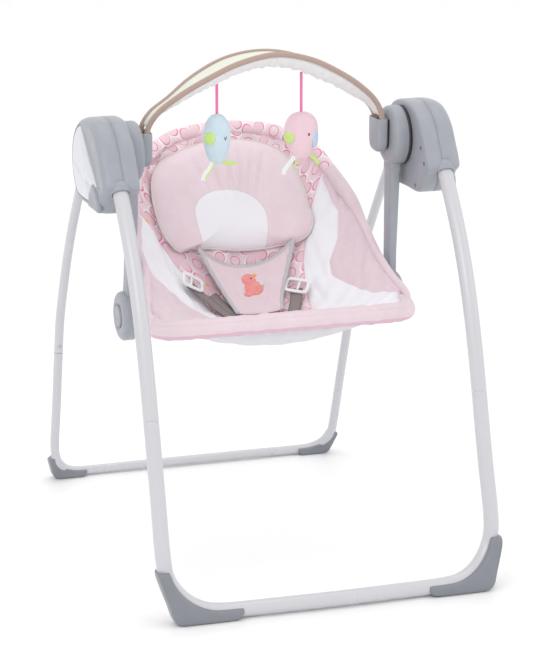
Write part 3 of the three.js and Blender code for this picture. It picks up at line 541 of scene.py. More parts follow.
FEET = {     # outer edge, inner edge, half depth, y of the middle, lean, height where it starts, body
    "front": ([(291, 82), (288, 68), (276, 30), (267, 5), (258, 0.5), (230, 0), (200, 0), (180, 0), (164, 2),
               (156, 9)], bend_line(190, 98, 277, 14.5, 5, (156, 20)), 19, -390, 0.287, 14.5, "base"),
    "rear": ([(278, 40), (274, 28), (265, 4.5), (257, 0.3), (240, 0), (225, 0), (214, 0), (205, 4)],
             bend_line(215, 62, 267, 10, 3, (204, 13)), 13, 396, -0.44, 10, "rear_frame"),
}
for word, side in SIDES.items():
    for end, (*shape, body) in FEET.items():
        piece = boot(f"{end}_foot_{word}_boot", *shape, side)
        finish(piece, body, "grey_plastic", foot_plastic, f"{end}_foot_{word}")
print("feet:", len(SIDES) * len(FEET), "boots")

# %% [markdown]
# ## Drive housings
# Each housing is two moulded halves that meet in a fine groove. Its side view is a closed curve, so the
# whole skin is that curve carried outwards in rings that shrink round the edges. A pale lens-shaped panel
# lies in a recess on the outer face, cut straight in front and notched round the fold button. Boolean
# cuts could make the recess, but rings keep the faces even, so the highlights run smoothly.

# %% Housing outline
HOUSE = [(-25, 742), (-66, 739), (-104, 716), (-127, 684), (-141, 662), (-146, 646), (-130, 632),
         (-116, 612), (-100, 599), (-50, 597), (10, 597), (36, 603), (60, 632), (68, 668), (56, 704),
         (20, 733)]
HEART = np.array([-36.0, 662.0])     # every ray from here meets each outline once
RAYS = 360
ray_angle = round_angles(RAYS) - np.pi
ray = np.stack([np.cos(ray_angle), np.sin(ray_angle)], 1)


def rays_to(line):
    """Distance from HEART to a closed line along RAYS even angles, interpolated over the angle."""
    away = line - HEART
    angle = np.arctan2(away[:, 1], away[:, 0])
    order = np.argsort(angle)
    return np.interp(ray_angle, angle[order], np.hypot(*away[order].T), period=2 * np.pi)


house_ring = HEART + ray * rays_to(loop(HOUSE, 900))[:, None]


def shrunk(ring, distance):
    """A closed ring moved inwards by a distance: each point goes along the inward normal, which is the
    central difference of its neighbours turned by a quarter."""
    along = unit(np.roll(ring, -1, 0) - np.roll(ring, 1, 0))
    return ring + distance * np.stack([-along[:, 1], along[:, 0]], 1)


def panel_rays():
    """Reach of the panel along each ray: the least of the shrunk outline, the slanted front edge and
    the arch round the fold button."""
    margin, never = 12, 999          # mm inside the outline, and the reach of a ray that meets nothing
    outline = rays_to(shrunk(house_ring, margin))
    start, stop = np.array([-14.0, 716.0]), np.array([-150.0, 600.0])
    normal = np.array([-(stop - start)[1], (stop - start)[0]])
    facing = ray @ normal
    slant = np.where(facing * ((start - HEART) @ normal) > 0, ((start - HEART) @ normal) / facing, never)
    centre, half, rise = np.array([-85.0, 604.0]), 33.5, 39.5
    scale = np.array([1 / half, 1 / rise])
    p, d = (HEART - centre) * scale, ray * scale
    a, b, c = (d * d).sum(1), 2 * (d @ p), p @ p - 1
    root = b * b - 4 * a * c
    arch = np.where((root > 0) & (b < 0), (-b - np.sqrt(np.maximum(root, 0))) / (2 * a), never)
    return np.minimum(np.minimum(outline, slant), arch)


sharp = panel_rays()
panel_reach = np.convolve(np.r_[sharp[-2:], sharp, sharp[:2]], [.1, .2, .4, .2, .1], "valid")


def ring_at(x, ring):
    """A (y, z) ring as (x, y, z) points."""
    return np.concatenate([np.full((RAYS, 1), x), ring], 1)


def panel_ring(share, less=0.0):
    """The panel's outline scaled by share about HEART, less a distance along every ray."""
    return HEART + ray * np.maximum(panel_reach * share - less, 0)[:, None]


# %% Housing skin and panel
SAFE, MEAN_REACH = 4.0, 72


def inset_ring(d):
    """The outline moved in by d: by its normals up to SAFE mm, then drawn towards HEART by d over its
    mean reach, so that the sharp nose never folds over itself."""
    return HEART + (shrunk(house_ring, min(d, SAFE)) - HEART) * (1 - max(d - SAFE, 0.0) / MEAN_REACH)


EDGE = [(245, 60), (245, 13), (245, 4.6), (245.5, 2.9), (246.8, 1.4), (248.6, 0.5), (250.8, 0), (260, 0),
        (271.3, 0), (271.6, 0.7), (272, 1.0), (272.4, 0.7), (272.7, 0), (284, 0), (290, 0.3), (294.5, 1.2),
        (298.6, 2.9), (301.8, 5.0), (304.0, 7.4), (304.9, 9.2), (305, 10.2)]
skin_rings = [ring_at(x, inset_ring(d)) for x, d in EDGE]
skin_rings += [ring_at(305.0, panel_ring(1.0, -1.0)), ring_at(304.6, panel_ring(1.0, -0.3)),
               ring_at(301.5, panel_ring(1.0, 0.0)), ring_at(301.5, panel_ring(0.3))]
skin_grid = MM * np.stack(skin_rings)

lens = [(302.0, 1.0, 1.2), (304.0, 1.0, 1.0), (304.9, 1.0, 1.4), (305.3, 1.0, 2.2)]
shares = np.linspace(0.93, 0.02, 14)
lens += [(305.5 + 3.9 * (1 - s**2), s, 0.0) for s in shares]
panel_rings = []     # a shallow crease runs across the panel below its middle
for x, share, less in lens:
    flat = panel_ring(share, less)
    crease = 1.5 * np.exp(-((flat[:, 1] - 646 - 0.25 * (flat[:, 0] + 20)) / 2.2) ** 2)
    crease *= (flat[:, 0] > -60) * min(1.0, max(0.0, (1.0 - share) * 6))
    panel_rings.append(ring_at(x, flat) - np.stack([crease, 0 * crease, 0 * crease], 1))
panel_grid = MM * np.stack(panel_rings)

EXIT = np.array([277, -138.6, 640.4]) * MM          # where the front leg leaves the housing
LEG_WAY = unit(np.array([0, -41.0, -52.0]))
print("housing skin:", len(skin_grid), "rings of", RAYS, "points")

# %% Leg collars and fold buttons


def about_axis(profile, centre, axis, n=72):
    """A part turned about any axis: profile is a list of (distance along the axis, radius)."""
    p = MM * np.asarray(profile, float)
    side = unit(np.cross(axis, (1.0, 0.0, 0.0)))
    third = np.cross(axis, side)
    angle = round_angles(n)
    spoke = np.cos(angle)[:, None] * side + np.sin(angle)[:, None] * third
    return centre + p[:, :1, None] * axis + p[:, 1:, None] * spoke


COLLAR = [(-16, 12.9), (-16, 16), (-6, 17.2), (1.2, 17.0), (2.6, 16.6), (3.2, 15.8), (3.3, 15.0),
          (2.9, 14.2), (2.0, 13.8), (-4, 13.7), (-15.5, 13.7)]
ARCH_STEPS = np.linspace(0, np.pi, 40)


def arch_ring(grow):
    """The fold button's side view, a half ellipse on a flat base, scaled about its middle: grow is in
    mm, and at -20 the ring would be a point."""
    arc = np.stack([-85 + 29.6 * np.cos(ARCH_STEPS), 604 + 35.6 * np.sin(ARCH_STEPS)], 1)
    base = np.stack([np.linspace(-114.6, -55.4, 22)[1:-1], np.full(20, 604.0)], 1)
    middle = np.array([-85.0, 619.0])
    return middle + (np.vstack([arc, base]) - middle) * (1 + grow / 20)


BUTTON = [(300.3, -6), (300.3, 0), (306.4, 0), (308.2, -0.7), (309.0, -2.2), (309.2, -4.5), (308.2, -9),
          (307.6, -14)]
for word, side in SIDES.items():
    skin = surface(f"housing_{word}_skin", flipped(skin_grid, side), around=True, capped=True)
    finish(skin, "base", "grey_plastic", grey_plastic, f"housing_inner_shell_{word}",
           f"housing_outer_shell_{word}")
    panel = surface(f"side_panel_{word}_lens", flipped(panel_grid, side), around=True, capped=True)
    finish(panel, "base", "light_plastic", panel_plastic, f"side_panel_{word}")
    collar = surface(f"leg_collar_{word}", flipped(about_axis(COLLAR, EXIT, LEG_WAY), side), True, True)
    finish(collar, "base", "grey_plastic", grey_plastic)
    rings = [np.concatenate([np.full((60, 1), x), arch_ring(g)], 1) for x, g in BUTTON]
    button = surface(f"fold_button_{word}_cap", flipped(MM * np.stack(rings), side), True, True)
    finish(button, f"fold_button_{word}", "grey_plastic", grey_plastic, f"fold_button_{word}")
print("fold button:", len(BUTTON), "rings of", len(arch_ring(0)), "points")

# %% [markdown]
# ## Knuckles, hubs and arms
# The moulded parts on the pivots are turned shapes with softened edges. The arm hangs from the hub's neck
# and swells into the lower disc, which carries the recline button in a shallow ring groove. A Screw
# modifier could turn the discs, but then each profile would need an object of its own.

# %% Rear knuckles, hubs, arms and recline hubs
FOLD_AXIS, SWING_AXIS, RECLINE_AXIS = (40, 662), (-25, 683), (-8, 403)     # y and z of each pivot, in mm
KNUCKLE = [(265.6, 9), (265.6, 14.5), (266.3, 16.6), (268.2, 18), (285.8, 18), (287.7, 16.6), (288.4, 14.5),
           (288.4, 9)]
HUB = [(215, 12), (215, 36), (214.9, 38), (215.6, 39.2), (215.6, 42.2), (216.2, 44.6), (217.8, 47.2),
       (220.4, 49.2), (223.4, 50), (238.6, 50), (240.2, 49.4), (240.9, 48.2), (241, 46), (241, 12)]
LOWER_DISC = [(224, 10), (224, 37.5), (224.5, 39.4), (226.4, 41), (240.6, 41), (243.6, 39.8), (246, 37),
              (247.4, 33), (248, 29), (248, 24), (247.8, 22.6), (246.6, 22), (246.6, 20.4), (246.4, 19.6),
              (245.4, 19.2), (245.4, 8)]
PRESS = [(243.4, 8), (243.4, 18.2), (248.6, 18.2), (249.5, 17.4), (249.9, 16), (249.7, 11), (249.3, 4)]
ARM = [(652, 228, -25, 9.4, 19), (640, 228, -25, 9.8, 19.8), (630, 228, -25, 10.4, 20.4),
       (626.5, 228, -24.9, 10.4, 20.3), (625.4, 228, -24.8, 9.3, 19.1), (600, 228, -23.6, 9, 18),
       (570, 228, -22, 8.8, 17), (525, 228.4, -19, 8.4, 15.6), (480, 229, -15.5, 8, 14.5),
       (440, 230.6, -12, 7.7, 14.8), (412, 232, -9, 7.5, 15.4)]


def arm_grid(side):
    """Rounded-box sections, one for each level of the arm: z, x, y, half width and half depth."""
    collar_rows = 4
    levels = np.vstack([ARM[:collar_rows], walk(ARM[collar_rows:], 60)])
    ring = rounded_ring(1, 1, 56, 4.5)
    grid = np.empty((len(levels), len(ring), 3))
    grid[..., 0] = levels[:, 1:2] + ring[:, 0] * levels[:, 3:4]
    grid[..., 1] = levels[:, 2:3] + ring[:, 1] * levels[:, 4:5]
    grid[..., 2] = levels[:, :1]
    return flipped(MM * grid, side)


def turned(name, profile, axis, side):
    """A lathe part on the left or right pivot axis (y, z), from a profile in mm."""
    return lathe(name, MM * np.asarray(profile, float) * (side, 1), (axis[0] * MM, axis[1] * MM))


KNUCKLE_MIDDLE = np.array([277, 40, 662])
REAR_WAY = unit(MM * (np.array([276.4, 80, 640.5]) - KNUCKLE_MIDDLE))
SLEEVE = [(0, 8.6), (0, 11.5), (38, 11.5), (39.4, 11.1), (40, 10.2), (40, 8.6), (39, 8.3), (2, 8.3)]
for word, side in SIDES.items():
    knuckle = turned(f"rear_knuckle_{word}_disc", KNUCKLE, FOLD_AXIS, side)
    finish(knuckle, "rear_frame", "grey_plastic", grey_plastic, f"rear_knuckle_{word}")
    sleeve = flipped(about_axis(SLEEVE, MM * KNUCKLE_MIDDLE, REAR_WAY), side)
    finish(surface(f"rear_knuckle_{word}_sleeve", sleeve, True, True), "rear_frame", "grey_plastic",
           grey_plastic)
    hub = turned(f"swing_hub_{word}_disc", HUB, SWING_AXIS, side)
    finish(hub, "swing", "grey_plastic", grey_plastic, f"swing_hub_{word}")
    arm = surface(f"swing_arm_{word}_bar", arm_grid(side), True, True)
    finish(arm, "swing", "grey_plastic", grey_plastic, f"swing_arm_{word}")
    disc = turned(f"recline_hub_{word}", LOWER_DISC, RECLINE_AXIS, side)
    finish(disc, "swing", "grey_plastic", grey_plastic)
    button = turned(f"recline_button_{word}_cap", PRESS, RECLINE_AXIS, side)
    finish(button, f"recline_button_{word}", "grey_plastic", grey_plastic, f"recline_button_{word}")
print("arm:", len(arm_grid(1)), "sections")

# %% Screw wells in the inner faces and the gaps beside the hubs, in painted shade
# The screw wells and the thin rings beside the hubs are near-black painted shade, standing for the dark inside
# the holes and the gaps.
WELL = [(245.4, 1), (245.4, 3.0), (244.7, 3.2), (244.5, 2.7), (244.6, 2.2), (245.6, 2.0), (247, 1.8), (247, 1)]
GAP = [(238.8, 46), (238.8, 50.15), (244.2, 49.6), (244.2, 46)]
for word, side in SIDES.items():
    for i, place in enumerate([(-111, 675), (-127, 652), (-88, 608)]):
        finish(turned(f"screw_well_{word}_{i}", WELL, place, side), "base", "grey_plastic", painted_shade)
for word, side in SIDES.items():
    finish(turned(f"hub_shadow_ring_{word}", GAP, SWING_AXIS, side), "swing", "grey_plastic", painted_shade)
print("screw wells are", round(WELL[1][1] * 2, 1), "mm wide")

# %% [markdown]
# ## Seat surface
# The whole seat is one hammock-like surface. u runs from the front edge to the top and v across, from -1
# to 1. A line down the middle and a line along the rim give its shape, and between them the surface
# rises as |v| to the power 2.2: flat in the middle, steep at the wings. A sculpted mesh could have the
# same shape, but a formula lets every pad, strap and patch be laid on the seat at a known height.

# %% The surface and points above it
SEAT_MIDDLE = MM * np.array([(0, -166, 418), (0, -142, 404), (0, -90, 380), (0, -25, 372), (0, 30, 388),
                             (0, 68, 422), (0, 98, 467), (0, 128, 527), (0, 160, 592), (0, 186, 642),
                             (0, 204, 672)])
SEAT_RIM = MM * np.array([(216, -138, 412), (224, -108, 430), (214, -68, 450), (204, -22, 480),
                          (203, 38, 514), (196, 80, 548), (186, 118, 577), (170, 152, 606),
                          (146, 178, 632), (112, 194, 652), (64, 203, 664)])


def seat(u, v):
    """Points of the seat surface: middle(u) + (rim(u) - middle(u)) * |v|^2.2 in y and z, and v times
    the rim's x."""
    u, v = np.broadcast_arrays(np.asarray(u, float), np.asarray(v, float))
    middle = spline(SEAT_MIDDLE, u.ravel()).reshape(u.shape + (3,))
    rim = spline(SEAT_RIM, u.ravel()).reshape(u.shape + (3,))
    share = np.abs(v)[..., None] ** 2.2
    place = middle + (rim - middle) * share
    place[..., 0] = v * rim[..., 0]
    return place


def seat_normal(u, v, reach=0.01):
    """Unit normal on the baby's side, from central differences. A pad that bridges the bends takes a
    long reach, which keeps its surface from folding over itself where the seat is hollow."""
    across = seat(u, v + reach) - seat(u, v - reach)
    along = seat(np.minimum(u + reach, 1), v) - seat(np.maximum(u - reach, 0), v)
    return unit(np.cross(across, along))


def above_seat(u, v, height, reach=0.01):
    """Points at a height over the seat: seat(u, v) + height * normal."""
    height = np.broadcast_to(height, np.broadcast_shapes(np.shape(u), np.shape(v)))
    return seat(u, v) + seat_normal(u, v, reach) * height[..., None]


def rim_x(u):
    """The rim's distance from the middle plane at u, in metres."""
    u = np.asarray(u, float)
    return spline(SEAT_RIM, u.ravel()).reshape(u.shape + (3,))[..., 0]


MIDDLE_RUN = distances(seat(np.linspace(0, 1, 201), 0.0))
MEAN_RIM, MEAN_RUN = 0.2, 0.62     # rough half width and length of the seat, in metres
print("seat from front to top:", round(float(MIDDLE_RUN[-1]), 3), "m along its middle")


def seat_metres(u, v):
    """Flat fabric coordinates in metres: across, and along the middle line."""
    return np.stack([v * rim_x(u), np.interp(u, np.linspace(0, 1, 201), MIDDLE_RUN)], -1)


def bowl(d, reach):
    """Quarter circle: 0 at d = 0, rising to 1 at d = reach."""
    return np.sqrt(np.clip(1 - (1 - np.clip(d / reach, 0, 1)) ** 2, 0, 1))


def fold(x, y, x0, y0, x1, y1, width):
    """A soft crease from (x0, y0) to (x1, y1): a bell across the line that fades towards both ends."""
    dx, dy = x1 - x0, y1 - y0
    size = np.hypot(dx, dy)
    t = ((x - x0) * dx + (y - y0) * dy) / size**2
    off = ((x - x0) * dy - (y - y0) * dx) / size
    return np.exp(-(off / width) ** 2) * np.clip(4 * t * (1 - t), 0, 1)


# %% [markdown]
# ## Seat cover
# The cover is sewn from a printed middle, two wavy white side panels and velour wings. Each border is a
# line v(u), and the distance to it is stored on the mesh. The material switches cloth where a distance
# changes sign, so a border stays sharp however coarse the mesh is, and the mesh dips along each seam.
# Separate meshes for the three cloths would need their edges stitched together.

# %% Borders between the cloths
PRINT_RIGHT = [(0.0, 0.40), (0.20, 0.40), (0.33, 0.44), (0.40, 0.467), (0.50, 0.525), (0.558, 0.592),
               (0.629, 0.725), (0.675, 0.875), (0.70, 1.02), (0.74, 1.3), (1.0, 1.6)]
PRINT_LEFT = [(0.0, 0.30), (0.20, 0.32), (0.362, 0.375), (0.40, 0.425), (0.467, 0.525), (0.50, 0.617),
              (0.542, 0.742), (0.562, 0.867), (0.58, 1.02), (0.64, 1.3), (1.0, 1.6)]
WING_RIGHT = [(0.0, 1.0), (0.12, 0.97), (0.183, 0.892), (0.217, 0.83), (0.308, 0.758), (0.383, 0.683),
              (0.429, 0.708), (0.471, 0.817), (0.533, 0.90), (0.575, 0.892), (0.671, 0.917),
              (0.70, 1.05), (1.0, 1.6)]
WING_LEFT = [(0.0, 0.2), (0.28, 0.33), (0.325, 0.60), (0.33, 0.85), (0.36, 0.94), (0.45, 0.933),
             (0.55, 0.917), (0.59, 1.05), (1.0, 1.6)]


def border(u, v, line):
    """Signed distance in metres past a border line v(u), positive towards the rim. It is the offset in v
    times the rim's x, shortened by the line's own slope."""
    at, where = np.asarray(line).T
    away = (np.abs(v) - np.interp(u, at, where)) * rim_x(u)
    slope = (np.interp(u + 0.01, at, where) - np.interp(u - 0.01, at, where)) / 0.02 * MEAN_RIM / MEAN_RUN
    return away / np.sqrt(1 + slope**2)


def borders(u, v):
    """Distances past the print's border and past the white panel's border, on either side."""
    to_wing = np.where(v > 0, border(u, v, WING_RIGHT), border(u, v, WING_LEFT))
    to_white = np.where(v > 0, border(u, v, PRINT_RIGHT), border(u, v, PRINT_LEFT))
    return to_white, to_wing


# %% Cover mesh
ROWS, COLS = 230, 200
u_grid, v_grid = np.meshgrid(np.linspace(0, 1, ROWS), np.linspace(-1, 1, COLS), indexing="ij")
flat = seat_metres(u_grid, v_grid)
to_white, to_wing = borders(u_grid, v_grid)
from_rim = (1 - np.abs(v_grid)) * rim_x(u_grid)
from_front, from_top = flat[..., 1], MIDDLE_RUN[-1] - flat[..., 1]
edge = bowl(from_rim, 0.010) * bowl(from_front, 0.012) * bowl(from_top, 0.010)
CORE = 5.5 * MM     # depth of the cover's middle layer below the seat surface
x, y = flat[..., 0], flat[..., 1]
puff = (0.0022 * np.sin(70 * x + 1.3) * np.sin(55 * y) + 0.0012 * np.sin(130 * x + 60 * y)
        + 0.0010 * np.sin(150 * y - 90 * x + 0.7))
wrinkle = sum(depth * fold(x, y, *ends, width) for depth, width, ends in (
    (0.0045, 0.006, (0.20, 0.33, 0.165, 0.16)), (0.004, 0.005, (0.195, 0.38, 0.17, 0.24)),
    (0.0045, 0.007, (0.21, 0.24, 0.14, 0.07)), (0.003, 0.004, (0.20, 0.42, 0.185, 0.30)),
    (0.0035, 0.006, (0.12, 0.33, 0.13, 0.18)), (0.003, 0.005, (0.105, 0.28, 0.115, 0.12)),
    (0.004, 0.007, (-0.13, 0.30, -0.10, 0.13)), (0.0035, 0.005, (-0.16, 0.35, -0.12, 0.17)),
    (0.004, 0.006, (-0.20, 0.25, -0.13, 0.10)), (0.003, 0.006, (0.06, 0.14, 0.16, 0.10))))
seam_dip = 0.0026 * (np.exp(-(to_white / 0.0035) ** 2) + np.exp(-(to_wing / 0.0035) ** 2))
behind_roll = 0.004 * np.exp(-((y - 0.030) / 0.008) ** 2)
upper_height = -CORE + edge * (CORE + puff - wrinkle * 0.8 - seam_dip) - behind_roll
upper = above_seat(u_grid, v_grid, upper_height)
lower = above_seat(u_grid, v_grid, -CORE - edge * 5.3 * MM)
cover = surface("seat_cover_cloth", two_faced(upper, lower), around=True, capped="flat",
                uv=two_faced_uv(flat), layers={"to_white": two_faced(to_white, to_white),
                                               "to_wing": two_faced(to_wing, to_wing)})
print("seat cover:", len(cover.data.polygons), "faces")

# %% [markdown]
# ### Printed cloth and velour
# The print is a grid of four-petalled flowers. A rose curve gives them: at angle a the outline is at
# r = A |cos 2a|, so r minus that is a distance that a narrow band turns into a line. Rings between the
# flowers and a few yellow dots complete it. A painted picture could show the cloth too, but a formula
# stays sharp at any distance and needs no file.

# %% Print and seams
PRINT_PITCH = 0.052     # metres from one flower to the next


def petal_print(tree, where, pitch):
    """Colour of the printed cloth, with where in metres. Each cell of the grid has a flower in its
    middle and a quarter of a ring in each corner."""
    petal_length, petal_power, ring_radius, tilt = 0.46, 0.5, 0.16, 0.5
    cell = put(tree, "ShaderNodeVectorMath", {0: where, 1: (1 / pitch, 1 / pitch, 1)},
               operation="MULTIPLY").outputs[0]
    tilted = put(tree, "ShaderNodeMapping", {"Vector": cell, "Rotation": (0, 0, tilt)}).outputs[0]
    split = put(tree, "ShaderNodeSeparateXYZ", {"Vector": tilted})
    px, py = (maths(tree, "SUBTRACT", maths(tree, "FRACT", split.outputs[k]), 0.5) for k in "XY")
    radius = hypotenuse(tree, px, py)
    angle = maths(tree, "ARCTAN2", py, px)
    rose = maths(tree, "ABSOLUTE", maths(tree, "COSINE", maths(tree, "MULTIPLY", angle, 2.0)))
    rose = maths(tree, "MULTIPLY", maths(tree, "POWER", rose, petal_power), petal_length)
    petal = maths(tree, "SUBTRACT", radius, rose)
    colour = mix(tree, spread(tree, petal, -0.01, 0.01), (0.83, 0.60, 0.66), (0.85, 0.68, 0.73))
    ax, ay = (maths(tree, "SUBTRACT", 0.5, maths(tree, "ABSOLUTE", k)) for k in (px, py))
    corner = hypotenuse(tree, ax, ay)
    white = maths(tree, "MULTIPLY", spread(tree, petal, 0.025, 0.040), spread(tree, petal, 0.105, 0.120, 1, 0))
    colour = mix(tree, white, colour, (0.88, 0.85, 0.88))
    line = spread(tree, maths(tree, "ABSOLUTE", petal), 0.013, 0.024, 1, 0)
    from_ring = maths(tree, "ABSOLUTE", maths(tree, "SUBTRACT", corner, ring_radius))
    ring = spread(tree, from_ring, 0.009, 0.018, 1, 0)
    colour = mix(tree, maths(tree, "MAXIMUM", line, ring), colour, (0.80, 0.20, 0.34))
    half = [maths(tree, "FRACT", maths(tree, "MULTIPLY", split.outputs[k], 0.5)) for k in "XY"]
    dots = maths(tree, "MULTIPLY", maths(tree, "LESS_THAN", half[0], 0.5),
                 maths(tree, "GREATER_THAN", half[1], 0.5))
    dots = maths(tree, "MULTIPLY", dots, spread(tree, radius, 0.045, 0.06, 1, 0))
    return mix(tree, dots, colour, (0.86, 0.50, 0.09))


PINK, PINK_DARK = (0.775, 0.640, 0.690), (0.745, 0.605, 0.655)


def sewn_cloths(tree, where, tint):
    """Velour outside, white panel between, print in the middle, with a stitched line on each border."""
    far = [put(tree, "ShaderNodeAttribute", attribute_name=n).outputs["Fac"] for n in ("to_white", "to_wing")]
    flat_uv = tree.nodes.new("ShaderNodeTexCoord").outputs["UV"]
    in_white = spread(tree, far[0], -0.0003, 0.0003)
    in_wing = spread(tree, far[1], -0.0003, 0.0003)
    colour = mix(tree, in_white, petal_print(tree, flat_uv, PRINT_PITCH), (0.87, 0.87, 0.91))
    colour = mix(tree, in_wing, colour, tint)
    seam = spread(tree, maths(tree, "ABSOLUTE", far[1]), 0.0006, 0.0014, 0.55, 0)
    colour = mix(tree, seam, colour, (0.72, 0.56, 0.60))
    stitch = spread(tree, maths(tree, "ABSOLUTE", far[0]), 0.0006, 0.0014, 0.6, 0)
    return mix(tree, stitch, colour, (0.80, 0.30, 0.42))


velour = material("pink velour", PINK, PINK_DARK, velour_pile, 1500, 0.00025, 0.85, sheen=0.25)
cover_cloth = material("sewn seat cloths", PINK, PINK_DARK, velour_pile, 1500, 0.00022, 0.85, sheen=0.3,
                       paint=sewn_cloths)
white_cloth = material("white cloth", (0.74, 0.73, 0.76), (0.70, 0.69, 0.72), velour_pile, 1800, 0.00015, 0.85,
                       sheen=0.1)
finish(cover, "seat", "pink_velour", cover_cloth, "seat_cover")
print("print pitch:", PRINT_PITCH, "m")

# %% [markdown]
# ### Front roll and rim
# A padded roll covers the front hoop and a thinner one follows the wings and the top. Both are closed
# sections carried along a path. The front one is lumpy, as a hand-stuffed roll is, and has a darker band
# sewn under it. A cloth simulation would need the hoop as a collider and gives almost the same roll.

# %% Front roll
ROLL = MM * mirrored([(219, -100, 418), (218, -120, 411), (207, -141, 409), (175, -157, 411), (90, -166, 413.5),
                      (0, -168, 414)])
roll_path = walk(ROLL, 200)
share = np.linspace(0, 1, 200)
turn = round_angles(64)
swell = 0.55 + 0.45 * bowl(np.minimum(share, 1 - share), 0.10)
ripple = (1 + 0.03 * np.sin(61 * share + 1)[:, None] * np.sin(turn * 2 + 1)
          + 0.05 * np.sin(97 * share + 2)[:, None] * np.cos(turn + 17 * share[:, None])
          + 0.02 * np.sin(170 * share)[:, None] * np.sin(turn * 3))
pinch = 1 - 0.10 * np.exp(-((turn - 4.05) / 0.10) ** 2) - 0.08 * np.exp(-((turn - 1.1) / 0.12) ** 2)
section = rounded_ring(16.0, 17.0, 64, 2.2)[None] * MM * (swell[:, None] * ripple * pinch)[..., None]
grid = carried(roll_path, section, (0, 1, 0.0))
away = grid - roll_path[:, None]
facing = np.sign(-away[..., 1] + 1.2 * away[..., 0] * np.sign(grid[..., 0]))     # 1 outside, -1 inside
drop = np.arctan2(-away[..., 2], np.hypot(away[..., 0], away[..., 1]) * facing)
front_roll = surface("seat_front_roll", grid, around=True, capped=True,
                     uv=round_uv(1, 64, distances(roll_path)), layers={"drop": drop})


def roll_band(tree, where, tint):
    """A deeper pink band round the lower front of the roll, edged by a grey tape. drop is the angle below
    the horizontal, in radians."""
    drop = put(tree, "ShaderNodeAttribute", attribute_name="drop").outputs["Fac"]
    low = maths(tree, "MULTIPLY", spread(tree, drop, 0.36, 0.40), spread(tree, drop, 0.98, 1.0, 1, 0))
    colour = mix(tree, low, tint, (0.72, 0.47, 0.58))
    tape = maths(tree, "MULTIPLY", spread(tree, drop, 0.98, 1.0), spread(tree, drop, 1.10, 1.12, 1, 0))
    return mix(tree, tape, colour, (0.44, 0.42, 0.45))


roll_velour = material("pink velour roll", PINK, PINK_DARK, velour_pile, 1500, 0.00025, 0.85, sheen=0.25,
                       paint=roll_band)
finish(front_roll, "seat", "pink_velour", roll_velour)
print("front roll:", round(float(distances(roll_path)[-1]), 3), "m long")

# %% Rim roll
rim_half = np.vstack([SEAT_RIM[0:6], MM * np.array([(183, 124, 579), (152, 167, 626), (99, 194, 655),
                                                    (50, 203, 664), (0, 206, 667)])])
rim_path = walk(mirrored(rim_half), 360)
share = np.abs(np.linspace(-1, 1, 360))
thick = np.interp(share, [0, 0.42, 0.52, 0.6, 0.9, 1.0], [12.0, 12.0, 11.5, 7.0, 6.0, 5.0]) * MM
section = rounded_ring(1, 1, 40, 2.2)[None] * (thick[:, None] * (
    1 + 0.03 * np.sin(80 * np.linspace(0, 1, 360))[:, None] * np.sin(np.arange(40) * np.pi / 10)))[..., None]
grid = carried(rim_path, section, (0, 0.8, -0.6))
where = distances(rim_path)
rim_roll = surface("seat_rim_roll", grid, around=True, capped=True,
                   uv=round_uv(0.06, 40, where - where[-1] / 2))


def rim_cloths(tree, where, tint):
    """Print over the top of the rim and velour down the wings, split by the distance along it."""
    flat_uv = tree.nodes.new("ShaderNodeTexCoord").outputs["UV"]
    along = put(tree, "ShaderNodeSeparateXYZ", {"Vector": flat_uv}).outputs["Y"]
    top = maths(tree, "MULTIPLY", spread(tree, along, -0.262, -0.260), spread(tree, along, 0.212, 0.214, 1, 0))
    return mix(tree, top, tint, petal_print(tree, flat_uv, PRINT_PITCH))


rim_cloth = material("sewn rim cloths", PINK, PINK_DARK, velour_pile, 1500, 0.00022, 0.85, sheen=0.3,
                     paint=rim_cloths)
finish(rim_roll, "seat", "pink_velour", rim_cloth)
print("rim roll:", round(float(where[-1]), 3), "m long")

# %% [markdown]
# ### Head pillow
# The pillow is a stuffed D with piping round it. Its outline is a closed curve in (x, u) on the seat, and
# each ring inside it is that curve drawn towards the middle. The height over a ring is a bowl, so the
# pillow is crowned and thin at its edge, and gathers run up from the white arch. An inflated cloth mesh
# would crown by itself, but its outline would pull in and no longer meet the piping.

# %% Pillow
PILLOW = [(-0.121, 0.540), (-0.139, 0.555), (-0.149, 0.605), (-0.149, 0.68), (-0.138, 0.75), (-0.112, 0.82),
          (-0.070, 0.88), (-0.015, 0.914), (0.040, 0.902), (0.083, 0.857), (0.109, 0.79), (0.124, 0.71),
          (0.129, 0.64), (0.131, 0.582), (0.118, 0.563), (0.06, 0.596), (0.0, 0.608), (-0.055, 0.606),
          (-0.093, 0.580)]
CROWN, LIFT = 0.0255, 0.0045     # height of the stuffed face, and of the pillow over the seat
outline = loop(PILLOW, 240)
middle = np.array([-0.012, 0.70])
PAD_REACH = 0.08     # long reach for the normals under a pad, see seat_normal
shares = np.concatenate([np.linspace(0.03, 0.9, 50), np.linspace(0.91, 1, 12)])


def on_pillow(share, side):
    """A ring of the pillow: side 1 is its face and -1 its back."""
    flat_ring = middle + (outline - middle) * share
    px, pu = flat_ring.T
    along = (pu - 0.58) * MEAN_RUN
    gather = sum(fold(px, along, x0, 0.095, x1, 0.185, 0.0045) * depth for x0, x1, depth in (
        (-0.050, -0.080, 0.003), (-0.030, -0.042, 0.0045), (-0.010, -0.010, 0.005), (0.006, 0.014, 0.005),
        (0.020, 0.040, 0.0045), (0.034, 0.068, 0.0035)))
    face = CROWN * (1 - share**3.2) ** 0.62
    height = LIFT + (face - gather * (1 - share**6)) if side > 0 else LIFT - 0.003 * (1 - share**4)
    height = height + 0.0012 * np.sin(55 * px + 1) * np.sin(60 * along) * (1 - share**4) * (side > 0)
    return above_seat(pu, px / rim_x(pu), height, PAD_REACH), np.stack([px, along], -1)


